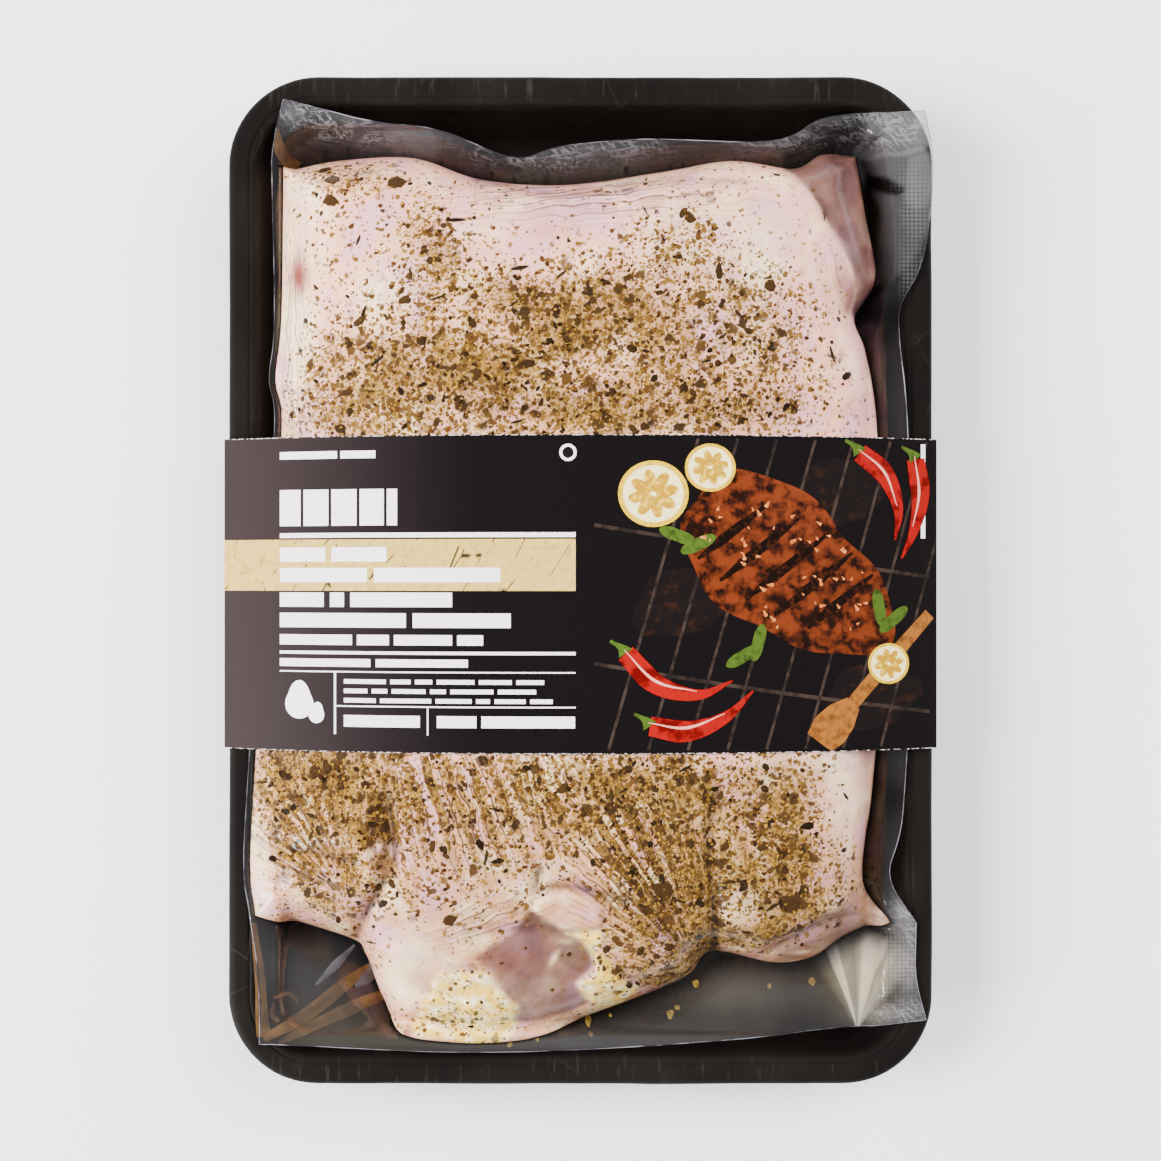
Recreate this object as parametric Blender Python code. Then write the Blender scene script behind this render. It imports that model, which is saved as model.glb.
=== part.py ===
"""A flattened, seasoned chicken in a clear vacuum pouch, on a black foam tray in a card sleeve.

The long side runs along Y. The pack rests on the sleeve's bottom panel at Z = 0, and its origin is
the middle of that panel's level under the tray's centre. Sizes are in millimetres until a mesh is
made, which turns them into metres.
"""

import math
import random

import bmesh
import bpy
import numpy as np
from mathutils import Quaternion, Vector

METRES = 0.001
GAP = 0.3
SMOOTH_DEGREES = 40.0
RUN_STEPS = 12

# Foam tray
TRAY_LENGTH = 302.0
TRAY_WIDTH = 211.0
TRAY_CORNER_RADIUS = 27.0
CARD = 0.5
TRAY_BASE_Z = CARD + GAP
CORNER_STEPS = 7
# Each pair is how far the foam's skin lies in from the tray's outer edge, and how high over its base.
TRAY_OUTER_SKIN = ((17.0, 0.0), (15.2, 0.8), (5.5, 23.5), (0.8, 24.2), (0.0, 25.0), (0.2, 26.8))
TRAY_INNER_SKIN = ((2.0, 28.0), (6.0, 28.0), (9.0, 26.8), (10.2, 22.0), (15.5, 9.0), (18.5, 5.5),
                   (23.0, 3.5))

# Card sleeve
SLEEVE_LOW_Y = -50.0
SLEEVE_HIGH_Y = 42.1
SLEEVE_BASE_HALF = 91.0
SLEEVE_HALF = 106.3
SLEEVE_LIP_Z = 26.0
SLEEVE_FOLD_Z = 29.0
SLEEVE_RISE = 21.0
SLEEVE_ARCH_POWER = 2.4
ARCH_STEPS = 28

# Outline of the chicken, from above. Each side is a smooth curve through its points.
BIRD_LEFT = ((-97, -100), (-98.5, -80), (-94.5, -18), (-89.5, 44), (-91, 60), (-89.5, 78), (-89, 124))
BIRD_RIGHT = ((92.5, -102), (85.5, -90), (88, -62), (90, -18), (89, 44), (86.5, 68), (83, 79), (88.5, 90),
              (86.5, 110), (83.5, 128.5))
BIRD_BOTTOM = ((-97, -100), (-70, -108), (-65, -113), (-60, -126), (-53, -135.5), (-28, -138), (-5, -134),
               (30, -120.5), (39.5, -112), (58, -115.5), (70, -114), (80, -107.5), (92.5, -102))
BIRD_TOP = ((-89, 124), (-72, 127), (-50, 127.5), (-30, 121), (-5, 119), (24, 123), (45, 126.5),
            (64, 124.5), (73, 129), (83.5, 128.5))

# Outline of the film. A side of several runs turns a sharp corner between them.
FILM_LEFT = (((-98.5, -100), (-100.2, -80), (-96.2, -18), (-91.2, 44), (-92.7, 60), (-91.2, 78),
              (-92, 125)),)
FILM_RIGHT = (((100, -102), (92.2, -88), (96, -69), (98.5, -18), (97.5, 44), (95, 72), (95.5, 82),
               (101, 93), (104, 108), (105, 126), (102.5, 140)),)
FILM_BOTTOM = (((-98.5, -100), (-96, -118), (-95.5, -138)),
               ((-95.5, -138), (-28, -140.5), (42, -137), (103, -131)),
               ((103, -131), (100, -118), (100, -102)))
FILM_TOP = (((-92, 125), (-90.5, 135), (-88.5, 143.5)),
            ((-88.5, 143.5), (-64, 137), (-42, 134.5), (-20, 126.5), (-5, 130), (20, 132), (57, 131.5),
             (74, 138), (102.5, 140)))

# The pouch's cells across and along the chicken, and how much they crowd towards its edge
CELLS_ACROSS = 30
CELLS_ALONG = 44
EDGE_CROWDING = 0.6
FLANGE_ROWS = 3
FOOT_RING = 5

# Heights in the pouch
SEAM_Z = 18.0
FILM_EDGE_RISE = 9.0
FLANGE_THICKNESS = 0.8
TRAY_STANDOFF = 7.0
TRAY_CLEARANCE = 0.9
FOOT_Z = TRAY_BASE_Z + TRAY_INNER_SKIN[-1][1] + GAP
SHOULDER = 15.0
BELLY_RADIUS = 16.0
CARD_CLEARANCE = 0.6
BULGE = 2.4
BULGE_START = 6.0
BULGE_REACH = 9.0
BROAD_LUMPS = (1.3, 21.0, 17.0)
FINE_LUMPS = (0.8, 11.0, 14.0)
TOP_END_Y = 78.0
TOP_END_DROP = 9.0
BOTTOM_END_Y = -72.0
BOTTOM_END_DROP = 17.0
END_REACH = 62.0

# Creases between the lobes of skin and meat: a path, its depth and its half width
CREASES = (
    (((40, -60), (37, -78), (38.5, -94), (39.5, -114)), 6.5, 4.0),
    (((-60, -68), (-58, -80), (-64, -97), (-67, -110)), 6.0, 4.5),
    (((-99, -76), (-84, -79), (-66, -82)), 3.2, 4.0),
    (((-13, -86), (-14.5, -97), (6, -103)), 3.5, 3.5),
    (((-31, -101), (-12, -104), (6, -110), (22, -121)), 2.6, 3.0),
    (((62, 123), (70, 112), (76, 101), (82, 90), (79, 80)), 3.0, 3.5),
    (((-31, 120), (-8, 113), (22, 117), (48, 116)), 1.8, 3.0),
)

# Largest flakes of herb and spice: a patch's centre, half sizes and number of flakes
FLAKE_PATCHES = (
    ((-68, 122), (17, 5), 8),
    ((-30, 84), (44, 32), 40),
    ((36, 78), (38, 30), 26),
    ((-72, -70), (20, 14), 9),
    ((-8, -74), (44, 18), 18),
    ((66, -78), (18, 20), 17),
    ((14, -100), (16, 10), 6),
)
FLAKE_SEED = 11
FLAKE_LENGTH = (3.2, 6.4)
FLAKE_ASPECT = (0.45, 0.85)
FLAKE_HEIGHT = 1.1
FLAKE_UNEVENNESS = (0.8, 1.1)
FLAKE_TRIES = 30
FLAKE_EDGE_MARGIN = 9.0
DROP_FROM_Z = 90.0

# Base colour, roughness and opacity
FINISHES = {
    "tray": ((0.022, 0.020, 0.019), 0.62, 1.0),
    "pouch": ((0.680, 0.480, 0.400), 0.22, 1.0),
    "sleeve": ((0.050, 0.040, 0.044), 0.48, 1.0),
}


def clear_scene():
    """Remove whatever the file holds."""
    for thing in list(bpy.data.objects):
        bpy.data.objects.remove(thing, do_unlink=True)


def finish(name):
    """The Principled material of one sub-part."""
    colour, roughness, opacity = FINISHES[name]
    material = bpy.data.materials.new(name)
    material.use_nodes = True
    shader = material.node_tree.nodes["Principled BSDF"]
    shader.inputs["Base Color"].default_value = (*colour, 1.0)
    shader.inputs["Roughness"].default_value = roughness
    shader.inputs["Alpha"].default_value = opacity
    return material


def mesh_object(name, points, faces):
    """A smooth-shaded object from points in millimetres and faces that point outwards."""
    mesh = bpy.data.meshes.new(name)
    scaled = np.asarray(points, dtype=float) * METRES
    mesh.from_pydata(scaled.tolist(), [], [list(face) for face in faces])
    mesh.validate()
    mesh.shade_smooth()
    mesh.set_sharp_from_angle(angle=math.radians(SMOOTH_DEGREES))
    made = bpy.data.objects.new(name, mesh)
    bpy.context.scene.collection.objects.link(made)
    return made


def rounded_rectangle(inset):
    """The corners' arcs of the tray's outline, moved inwards, counter-clockwise from above."""
    half_x = TRAY_WIDTH / 2 - TRAY_CORNER_RADIUS
    half_y = TRAY_LENGTH / 2 - TRAY_CORNER_RADIUS
    radius = TRAY_CORNER_RADIUS - inset
    ring = []
    for quarter, (side_x, side_y) in enumerate(((1, 1), (-1, 1), (-1, -1), (1, -1))):
        for step in range(CORNER_STEPS + 1):
            angle = math.pi / 2 * (quarter + step / CORNER_STEPS)
            across = side_x * half_x + radius * math.cos(angle)
            ring.append((across, side_y * half_y + radius * math.sin(angle)))
    return ring


def tray_inset(x, y):
    """How far each point lies inside the tray's outer edge; negative outside it."""
    over_x = np.abs(x) - (TRAY_WIDTH / 2 - TRAY_CORNER_RADIUS)
    over_y = np.abs(y) - (TRAY_LENGTH / 2 - TRAY_CORNER_RADIUS)
    outside = np.hypot(np.maximum(over_x, 0), np.maximum(over_y, 0))
    inside = np.minimum(np.maximum(over_x, over_y), 0)
    return TRAY_CORNER_RADIUS - outside - inside


def tray_height(x, y, standoff=0.0):
    """Height of the tray's upper skin, with its walls moved inwards by the standoff."""
    insets = [inset for inset, _ in TRAY_INNER_SKIN]
    heights = [TRAY_BASE_Z + height for _, height in TRAY_INNER_SKIN]
    return np.interp(tray_inset(x, y) - standoff, insets, heights)


def make_tray():
    """The foam tray: its skin's rings bridged from the base, over the rim and down to the floor."""
    points = []
    faces = []
    skin = TRAY_OUTER_SKIN + TRAY_INNER_SKIN
    count = 4 * (CORNER_STEPS + 1)
    for inset, height in skin:
        points += [(x, y, TRAY_BASE_Z + height) for x, y in rounded_rectangle(inset)]
    for row in range(len(skin) - 1):
        for step in range(count):
            after = (step + 1) % count
            low = row * count
            high = low + count
            faces.append((low + step, low + after, high + after, high + step))
    faces.append(range(count - 1, -1, -1))
    faces.append(range((len(skin) - 1) * count, len(skin) * count))
    return mesh_object("tray", points, faces)


def sleeve_arch(x):
    """Height of the sleeve's outer face over the pouch."""
    return SLEEVE_FOLD_Z + SLEEVE_RISE * (1 - np.abs(x / SLEEVE_HALF) ** SLEEVE_ARCH_POWER)


def offset_loop(loop, distance):
    """A closed loop moved inwards, with its corners mitred. The loop runs counter-clockwise."""
    before = loop - np.roll(loop, 1, axis=0)
    after = np.roll(loop, -1, axis=0) - loop
    normals = []
    for edge in (before, after):
        length = np.hypot(edge[:, 0], edge[:, 1])
        normals.append(np.column_stack((-edge[:, 1] / length, edge[:, 0] / length)))
    both = normals[0] + normals[1]
    return loop + 2 * distance * both / (both ** 2).sum(axis=1, keepdims=True)


def make_sleeve():
    """The card band: one section in X and Z, carried along Y."""
    across = np.linspace(1, -1, ARCH_STEPS + 1) * SLEEVE_HALF
    arch = np.column_stack((across, sleeve_arch(across)))
    lower = np.array(((-SLEEVE_HALF, SLEEVE_LIP_Z), (-SLEEVE_BASE_HALF, 0), (SLEEVE_BASE_HALF, 0),
                      (SLEEVE_HALF, SLEEVE_LIP_Z)))
    outer = np.vstack((arch, lower))
    inner = offset_loop(outer, CARD)
    count = len(outer)
    points = []
    for y in (SLEEVE_LOW_Y, SLEEVE_HIGH_Y):
        for loop in (outer, inner):
            points += [(x, y, z) for x, z in loop]
    faces = []
    low_out, low_in, high_out, high_in = (step * count for step in range(4))
    for step in range(count):
        after = (step + 1) % count
        faces.append((low_out + step, high_out + step, high_out + after, low_out + after))
        faces.append((low_in + after, high_in + after, high_in + step, low_in + step))
        faces.append((low_out + after, low_in + after, low_in + step, low_out + step))
        faces.append((high_out + step, high_in + step, high_in + after, high_out + after))
    return mesh_object("sleeve", points, faces)


def smooth_run(points):
    """A Catmull-Rom curve through the points, as a close polyline."""
    through = np.array(points, dtype=float)
    ends = np.vstack((2 * through[0] - through[1], through, 2 * through[-1] - through[-2]))
    t = np.linspace(0, 1, RUN_STEPS, endpoint=False)[:, None]
    parts = []
    for first, start, end, last in zip(ends, ends[1:], ends[2:], ends[3:]):
        slope = (end - first) / 2
        next_slope = (last - start) / 2
        cubic = 2 * (start - end) + slope + next_slope
        square = 3 * (end - start) - 2 * slope - next_slope
        parts.append(start + t * slope + t ** 2 * square + t ** 3 * cubic)
    return np.vstack(parts + [through[-1:]])


def along(line, fractions):
    """Points of a polyline at the given fractions of its length."""
    lengths = np.concatenate(((0,), np.cumsum(np.hypot(*np.diff(line, axis=0).T))))
    wanted = np.asarray(fractions) * lengths[-1]
    return np.column_stack([np.interp(wanted, lengths, line[:, axis]) for axis in (0, 1)])


def crowded(cells):
    """Fractions from 0 to 1 in so many cells, closer together near both ends."""
    even = np.linspace(0, 1, cells + 1)
    return (1 - EDGE_CROWDING) * even + EDGE_CROWDING * (0.5 - 0.5 * np.cos(math.pi * even))


def distance_to(line, x, y):
    """Distance from each point to a polyline."""
    shape = np.shape(x)
    spots = np.column_stack((np.ravel(x), np.ravel(y)))[:, None, :]
    start = line[:-1]
    run = line[1:] - start
    share = ((spots - start) * run).sum(axis=2) / np.maximum((run ** 2).sum(axis=1), 1e-9)
    nearest = start + np.clip(share, 0, 1)[..., None] * run
    gaps = np.sqrt(((spots - nearest) ** 2).sum(axis=2))
    return gaps.min(axis=1).reshape(shape)


BIRD_SIDES = {side: smooth_run(points) for side, points in
              (("left", BIRD_LEFT), ("right", BIRD_RIGHT), ("bottom", BIRD_BOTTOM), ("top", BIRD_TOP))}
FILM_SIDES = {side: np.vstack([smooth_run(run) for run in runs]) for side, runs in
              (("left", FILM_LEFT), ("right", FILM_RIGHT), ("bottom", FILM_BOTTOM), ("top", FILM_TOP))}
BIRD_OUTLINE = np.vstack((BIRD_SIDES["bottom"], BIRD_SIDES["right"], BIRD_SIDES["top"][::-1],
                          BIRD_SIDES["left"][::-1]))


def seam_height(x, y, rise=0.0):
    """Height of the pouch's flat seam: afloat in the tray, and lifted where it nears the wall or rim."""
    return np.maximum(SEAM_Z + rise, tray_height(x, y, TRAY_STANDOFF) + TRAY_CLEARANCE)


def rounding(depth, radius):
    """A quarter circle's rise, from 0 at the edge to 1 at the radius and beyond."""
    left = 1 - np.clip(depth / radius, 0, 1)
    return np.sqrt(1 - left ** 2)


def end_drop(y):
    """How much lower the chicken is towards its two ends."""
    top = np.clip((y - TOP_END_Y) / END_REACH, 0, 1) ** 2 * TOP_END_DROP
    bottom = np.clip((BOTTOM_END_Y - y) / END_REACH, 0, 1) ** 2 * BOTTOM_END_DROP
    return top + bottom


def bird_height(x, y):
    """Height of the pouch's upper face over the chicken: the card's arch, lobes, creases and edge."""
    beyond = np.maximum(np.maximum(y - SLEEVE_HIGH_Y, SLEEVE_LOW_Y - y) - BULGE_START, 0)
    freed = 1 - np.exp(-beyond / BULGE_REACH)
    height, length_x, length_y = BROAD_LUMPS
    lumps = height * np.sin(x / length_x) * np.cos(y / length_y)
    height, length_x, length_y = FINE_LUMPS
    lumps = lumps + height * np.sin(x / length_x + y / length_y)
    crown = sleeve_arch(x) - CARD - CARD_CLEARANCE - end_drop(y) + freed * (BULGE + lumps)
    for path, depth, width in CREASES:
        crown = crown - freed * depth * np.exp(-(distance_to(smooth_run(path), x, y) / width) ** 2)
    seam = seam_height(x, y)
    rise = np.maximum(crown - seam, FLANGE_THICKNESS)
    return seam + rise * rounding(distance_to(BIRD_OUTLINE, x, y), SHOULDER) + FLANGE_THICKNESS / 2


def belly_height(x, y):
    """Height of the pouch's underside, clear of the tray's wall and floor."""
    fall = (SEAM_Z - FOOT_Z) * rounding(distance_to(BIRD_OUTLINE, x, y), BELLY_RADIUS)
    clear = tray_height(x, y, TRAY_STANDOFF) + TRAY_CLEARANCE - FLANGE_THICKNESS / 2
    return np.maximum(seam_height(x, y) - FLANGE_THICKNESS / 2 - fall, clear)


def side_points(sides, u, v):
    """The four sides of an outline at the grid's own fractions: bottom, right, top and left."""
    order = (("bottom", u), ("right", v), ("top", u), ("left", v))
    return [along(sides[side], share) for side, share in order]


def loop_of(bottom, right, top, left):
    """Four sides joined counter-clockwise from the lower left corner."""
    return np.vstack((bottom[:-1], right[:-1], top[:0:-1], left[:0:-1]))


def patch(u, v):
    """A Coons patch: the grid of points that blends the chicken's four sides."""
    bottom, right, top, left = side_points(BIRD_SIDES, u, v)
    across = u[:, None, None]
    up = v[None, :, None]
    sides = (1 - up) * bottom[:, None] + up * top[:, None]
    sides = sides + (1 - across) * left[None] + across * right[None]
    low = (1 - across) * bottom[0] + across * bottom[-1]
    high = (1 - across) * top[0] + across * top[-1]
    return sides - (1 - up) * low - up * high


def grid_ring(ring, across, along_cells):
    """Grid indices of the loop of points so many cells in from the edge."""
    last_i = across - ring
    last_j = along_cells - ring
    loop = [(i, ring) for i in range(ring, last_i)]
    loop += [(last_i, j) for j in range(ring, last_j)]
    loop += [(i, last_j) for i in range(last_i, ring, -1)]
    loop += [(ring, j) for j in range(last_j, ring, -1)]
    return loop


def halves(first, second, third, fourth):
    """A cell's two triangles, so that the faces above and below bend along the same diagonal."""
    return [(first, second, third), (first, third, fourth)]


def make_bare_pouch():
    """The sealed pouch: the chicken's upper face, its belly with a flat foot, and the film's flange."""
    u = crowded(CELLS_ACROSS)
    v = crowded(CELLS_ALONG)
    grid = patch(u, v)
    x, y = grid[..., 0], grid[..., 1]
    columns = CELLS_ALONG + 1
    upper = np.dstack((x, y, bird_height(x, y))).reshape(-1, 3)
    lower = np.dstack((x, y, belly_height(x, y)))
    for i, j in grid_ring(FOOT_RING, CELLS_ACROSS, CELLS_ALONG):
        lower[i, j, 2] = FOOT_Z
    lower = lower.reshape(-1, 3)
    points = [upper, lower]
    under = len(upper)
    faces = []
    for i in range(CELLS_ACROSS):
        for j in range(CELLS_ALONG):
            corner = i * columns + j
            for triangle in halves(corner, corner + columns, corner + columns + 1, corner + 1):
                faces.append(triangle)
                if min(i, j, CELLS_ACROSS - 1 - i, CELLS_ALONG - 1 - j) < FOOT_RING:
                    faces.append([under + point for point in reversed(triangle)])
    foot = [under + i * columns + j for i, j in grid_ring(FOOT_RING, CELLS_ACROSS, CELLS_ALONG)]
    faces.append(foot[::-1])

    inner = loop_of(*side_points(BIRD_SIDES, u, v))
    outer = loop_of(*side_points(FILM_SIDES, u, v))
    hem_low = seam_height(inner[:, 0], inner[:, 1])
    hem_high = seam_height(outer[:, 0], outer[:, 1], FILM_EDGE_RISE)
    count = len(inner)
    over_row = [i * columns + j for i, j in grid_ring(0, CELLS_ACROSS, CELLS_ALONG)]
    under_row = [under + index for index in over_row]
    used = 2 * len(upper)
    for row in range(1, FLANGE_ROWS + 1):
        share = row / FLANGE_ROWS
        spots = inner + share * (outer - inner)
        bowed = hem_low + (hem_high - hem_low) * math.sin(share * math.pi / 2)
        height = np.maximum(seam_height(spots[:, 0], spots[:, 1]), bowed)
        points.append(np.column_stack((spots, height + FLANGE_THICKNESS / 2)))
        points.append(np.column_stack((spots, height - FLANGE_THICKNESS / 2)))
        next_over = list(range(used, used + count))
        next_under = list(range(used + count, used + 2 * count))
        used += 2 * count
        for step in range(count):
            after = (step + 1) % count
            faces += halves(over_row[step], next_over[step], next_over[after], over_row[after])
            below = halves(under_row[step], next_under[step], next_under[after], under_row[after])
            faces += [triangle[::-1] for triangle in below]
        over_row, under_row = next_over, next_under
    for step in range(count):
        after = (step + 1) % count
        faces.append((over_row[step], under_row[step], under_row[after], over_row[after]))
    return mesh_object("pouch", np.vstack(points), faces)


def drop_loose_points(thing):
    """Delete the points that no face uses."""
    shell = bmesh.new()
    shell.from_mesh(thing.data)
    loose = [point for point in shell.verts if not point.link_faces]
    bmesh.ops.delete(shell, geom=loose, context="VERTS")
    shell.to_mesh(thing.data)
    shell.free()


def flake_spots(draw):
    """Places of the flakes: random in each patch, on the chicken and clear of the sleeve."""
    spots = []
    for (centre_x, centre_y), (half_x, half_y), number in FLAKE_PATCHES:
        wanted = len(spots) + number
        for _ in range(number * FLAKE_TRIES):
            x = centre_x + half_x * draw.uniform(-1, 1)
            y = centre_y + half_y * draw.uniform(-1, 1)
            near_card = SLEEVE_LOW_Y - FLAKE_LENGTH[1] < y < SLEEVE_HIGH_Y + FLAKE_LENGTH[1]
            at_edge = distance_to(BIRD_OUTLINE, np.array([x]), np.array([y]))[0] < FLAKE_EDGE_MARGIN
            too_close = any(math.hypot(x - a, y - b) < FLAKE_LENGTH[1] for a, b in spots)
            if len(spots) < wanted and not (near_card or at_edge or too_close):
                spots.append((x, y))
    return spots


def make_flakes(pouch):
    """A collection of small low lumps, each half sunk in the pouch's upper face."""
    draw = random.Random(FLAKE_SEED)
    flakes = bpy.data.collections.new("flakes")
    bpy.context.scene.collection.children.link(flakes)
    for index, (x, y) in enumerate(flake_spots(draw)):
        length = draw.uniform(*FLAKE_LENGTH)
        width = length * draw.uniform(*FLAKE_ASPECT)
        above = Vector((x, y, DROP_FROM_Z)) * METRES
        _, place, normal, _ = pouch.ray_cast(above, Vector((0, 0, -1)))
        shell = bmesh.new()
        bmesh.ops.create_icosphere(shell, subdivisions=1, radius=1.0)
        for point in shell.verts:
            point.co.x *= length / 2 * draw.uniform(*FLAKE_UNEVENNESS)
            point.co.y *= width / 2 * draw.uniform(*FLAKE_UNEVENNESS)
            point.co.z *= FLAKE_HEIGHT
        mesh = bpy.data.meshes.new(f"flake_{index}")
        shell.to_mesh(mesh)
        shell.free()
        flake = bpy.data.objects.new(f"flake_{index}", mesh)
        turn = normal.to_track_quat("Z", "Y") @ Quaternion((0, 0, 1), draw.uniform(0, math.pi))
        flake.rotation_euler = turn.to_euler()
        flake.scale = (METRES, METRES, METRES)
        flake.location = place
        flakes.objects.link(flake)
    return flakes


def fuse(thing, pieces):
    """Join a collection's pieces onto an object by one union, then remove them."""
    union = thing.modifiers.new("flakes", "BOOLEAN")
    union.operation = "UNION"
    union.operand_type = "COLLECTION"
    union.collection = pieces
    union.solver = "EXACT"
    bpy.context.view_layer.update()
    graph = bpy.context.evaluated_depsgraph_get()
    joined = bpy.data.meshes.new_from_object(thing.evaluated_get(graph))
    thing.modifiers.clear()
    thing.data = joined
    for piece in list(pieces.objects):
        bpy.data.objects.remove(piece, do_unlink=True)
    bpy.data.collections.remove(pieces)


def make_pouch():
    """The sealed pouch with its largest flakes fused on."""
    pouch = make_bare_pouch()
    drop_loose_points(pouch)
    bpy.context.view_layer.update()
    fuse(pouch, make_flakes(pouch))
    return pouch


def main():
    """Build the pack's three sub-parts under one empty."""
    clear_scene()
    pack = bpy.data.objects.new("pack", None)
    bpy.context.scene.collection.objects.link(pack)
    for name, make in (("tray", make_tray), ("pouch", make_pouch), ("sleeve", make_sleeve)):
        made = make()
        made.data.materials.clear()
        made.data.materials.append(finish(name))
        made.parent = pack


main()
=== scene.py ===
"""A seasoned, flattened chicken in a clear vacuum pouch, on a black foam tray in a card sleeve.

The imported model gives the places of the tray, the pouch and the sleeve. Every piece here is a
surface worked out with numpy in millimetres, and becomes metres when its mesh is made. X runs
across the tray, Y along it, and Z up from the surface that the pack stands on.
"""

from __future__ import annotations

import logging
import math
from dataclasses import dataclass, field
from enum import Enum
from typing import Any

import bpy
import numpy as np
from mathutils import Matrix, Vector

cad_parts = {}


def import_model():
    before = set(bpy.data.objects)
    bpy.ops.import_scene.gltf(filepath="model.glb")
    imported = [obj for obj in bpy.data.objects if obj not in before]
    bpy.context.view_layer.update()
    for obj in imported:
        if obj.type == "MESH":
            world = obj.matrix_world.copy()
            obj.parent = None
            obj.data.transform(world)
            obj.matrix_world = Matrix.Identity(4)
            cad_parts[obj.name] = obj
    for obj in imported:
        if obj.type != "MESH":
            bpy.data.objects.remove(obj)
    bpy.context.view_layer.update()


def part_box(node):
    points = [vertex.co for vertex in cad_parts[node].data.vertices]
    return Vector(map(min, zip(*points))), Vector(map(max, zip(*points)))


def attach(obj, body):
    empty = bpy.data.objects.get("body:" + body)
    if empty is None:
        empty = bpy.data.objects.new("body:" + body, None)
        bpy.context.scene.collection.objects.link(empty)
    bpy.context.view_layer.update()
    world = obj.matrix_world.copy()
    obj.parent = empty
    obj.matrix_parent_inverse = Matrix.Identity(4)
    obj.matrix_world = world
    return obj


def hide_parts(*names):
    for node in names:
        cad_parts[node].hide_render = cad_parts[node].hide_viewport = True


LOG = logging.getLogger("tray_pack")
MM = 0.001
SEED = 23
Array = np.ndarray
Points = tuple[tuple[float, float], ...]
Shape = tuple[Array, Array]


def linear(colour: str) -> tuple[float, float, float, float]:
    """Turn an sRGB hex colour to linear light.

    Args:
        colour: six hex digits after a hash.

    Returns:
        The linear red, green and blue, and an alpha of 1.
    """
    channels = [int(colour[start:start + 2], 16) / 255 for start in (1, 3, 5)]
    lit = [c / 12.92 if c <= 0.04045 else ((c + 0.055) / 1.055) ** 2.4 for c in channels]
    return (lit[0], lit[1], lit[2], 1.0)


def per(size: float) -> float:
    """Give the texture scale that draws features of a size in millimetres."""
    return 1 / (size * MM)


class Op(Enum):
    """What a node does: its type, the inputs that it takes in order, its settings and the output read."""

    PLACE = ("ShaderNodeTexCoord", (), {}, "Object")
    PAINT = ("ShaderNodeAttribute", (), {}, "Color")
    PARTS = ("ShaderNodeSeparateColor", (0,), {}, 0)
    AXES = ("ShaderNodeSeparateXYZ", (0,), {}, 0)
    NOISE = ("ShaderNodeTexNoise", ("Vector", "Scale", "Detail", "Roughness"), {}, 0)
    RUN = ("ShaderNodeTexNoise", ("W", "Scale", "Detail"), {"noise_dimensions": "1D"}, 0)
    CELLS = ("ShaderNodeTexVoronoi", ("Vector", "Scale"), {}, 0)
    CRACKS = ("ShaderNodeTexVoronoi", ("Vector", "Scale"), {"feature": "DISTANCE_TO_EDGE"}, 0)
    WEAVE = ("ShaderNodeTexVoronoi", ("Vector", "Scale", "Randomness"),
             {"distance": "CHEBYCHEV", "voronoi_dimensions": "2D"}, 0)
    TURN = ("ShaderNodeMapping", ("Vector", "Rotation", "Scale"), {"vector_type": "TEXTURE"}, 0)
    SHIFT = ("ShaderNodeVectorMath", (0, 1, 2), {"operation": "MULTIPLY_ADD"}, 0)
    RAMP = ("ShaderNodeMapRange", ("Value", "From Min", "From Max"), {"interpolation_type": "SMOOTHSTEP"}, 0)
    STOPS = ("ShaderNodeValToRGB", (0,), {}, 0)
    MIX = ("ShaderNodeMix", (0, 6, 7), {"data_type": "RGBA"}, 2)
    TIMES = ("ShaderNodeMath", (0, 1), {"operation": "MULTIPLY"}, 0)
    PLUS = ("ShaderNodeMath", (0, 1), {"operation": "ADD"}, 0)
    MINUS = ("ShaderNodeMath", (0, 1), {"operation": "SUBTRACT"}, 0)
    MOST = ("ShaderNodeMath", (0, 1), {"operation": "MAXIMUM"}, 0)
    SINE = ("ShaderNodeMath", (0,), {"operation": "SINE"}, 0)
    ABS = ("ShaderNodeMath", (0,), {"operation": "ABSOLUTE"}, 0)
    BLEND = ("ShaderNodeMath", (0, 1, 2), {"operation": "MULTIPLY_ADD", "use_clamp": True}, 0)
    BUMP = ("ShaderNodeBump", ("Height", "Strength", "Distance"), {}, 0)
    CLEAR = ("ShaderNodeBsdfTransparent", (), {}, 0)
    GLOSS = ("ShaderNodeBsdfGlossy", ("Color", "Roughness", "Normal"), {}, 0)
    BOUNCE = ("ShaderNodeFresnel", ("IOR", "Normal"), {}, 0)
    JOIN = ("ShaderNodeMixShader", (0, 1, 2), {}, 0)


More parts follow.
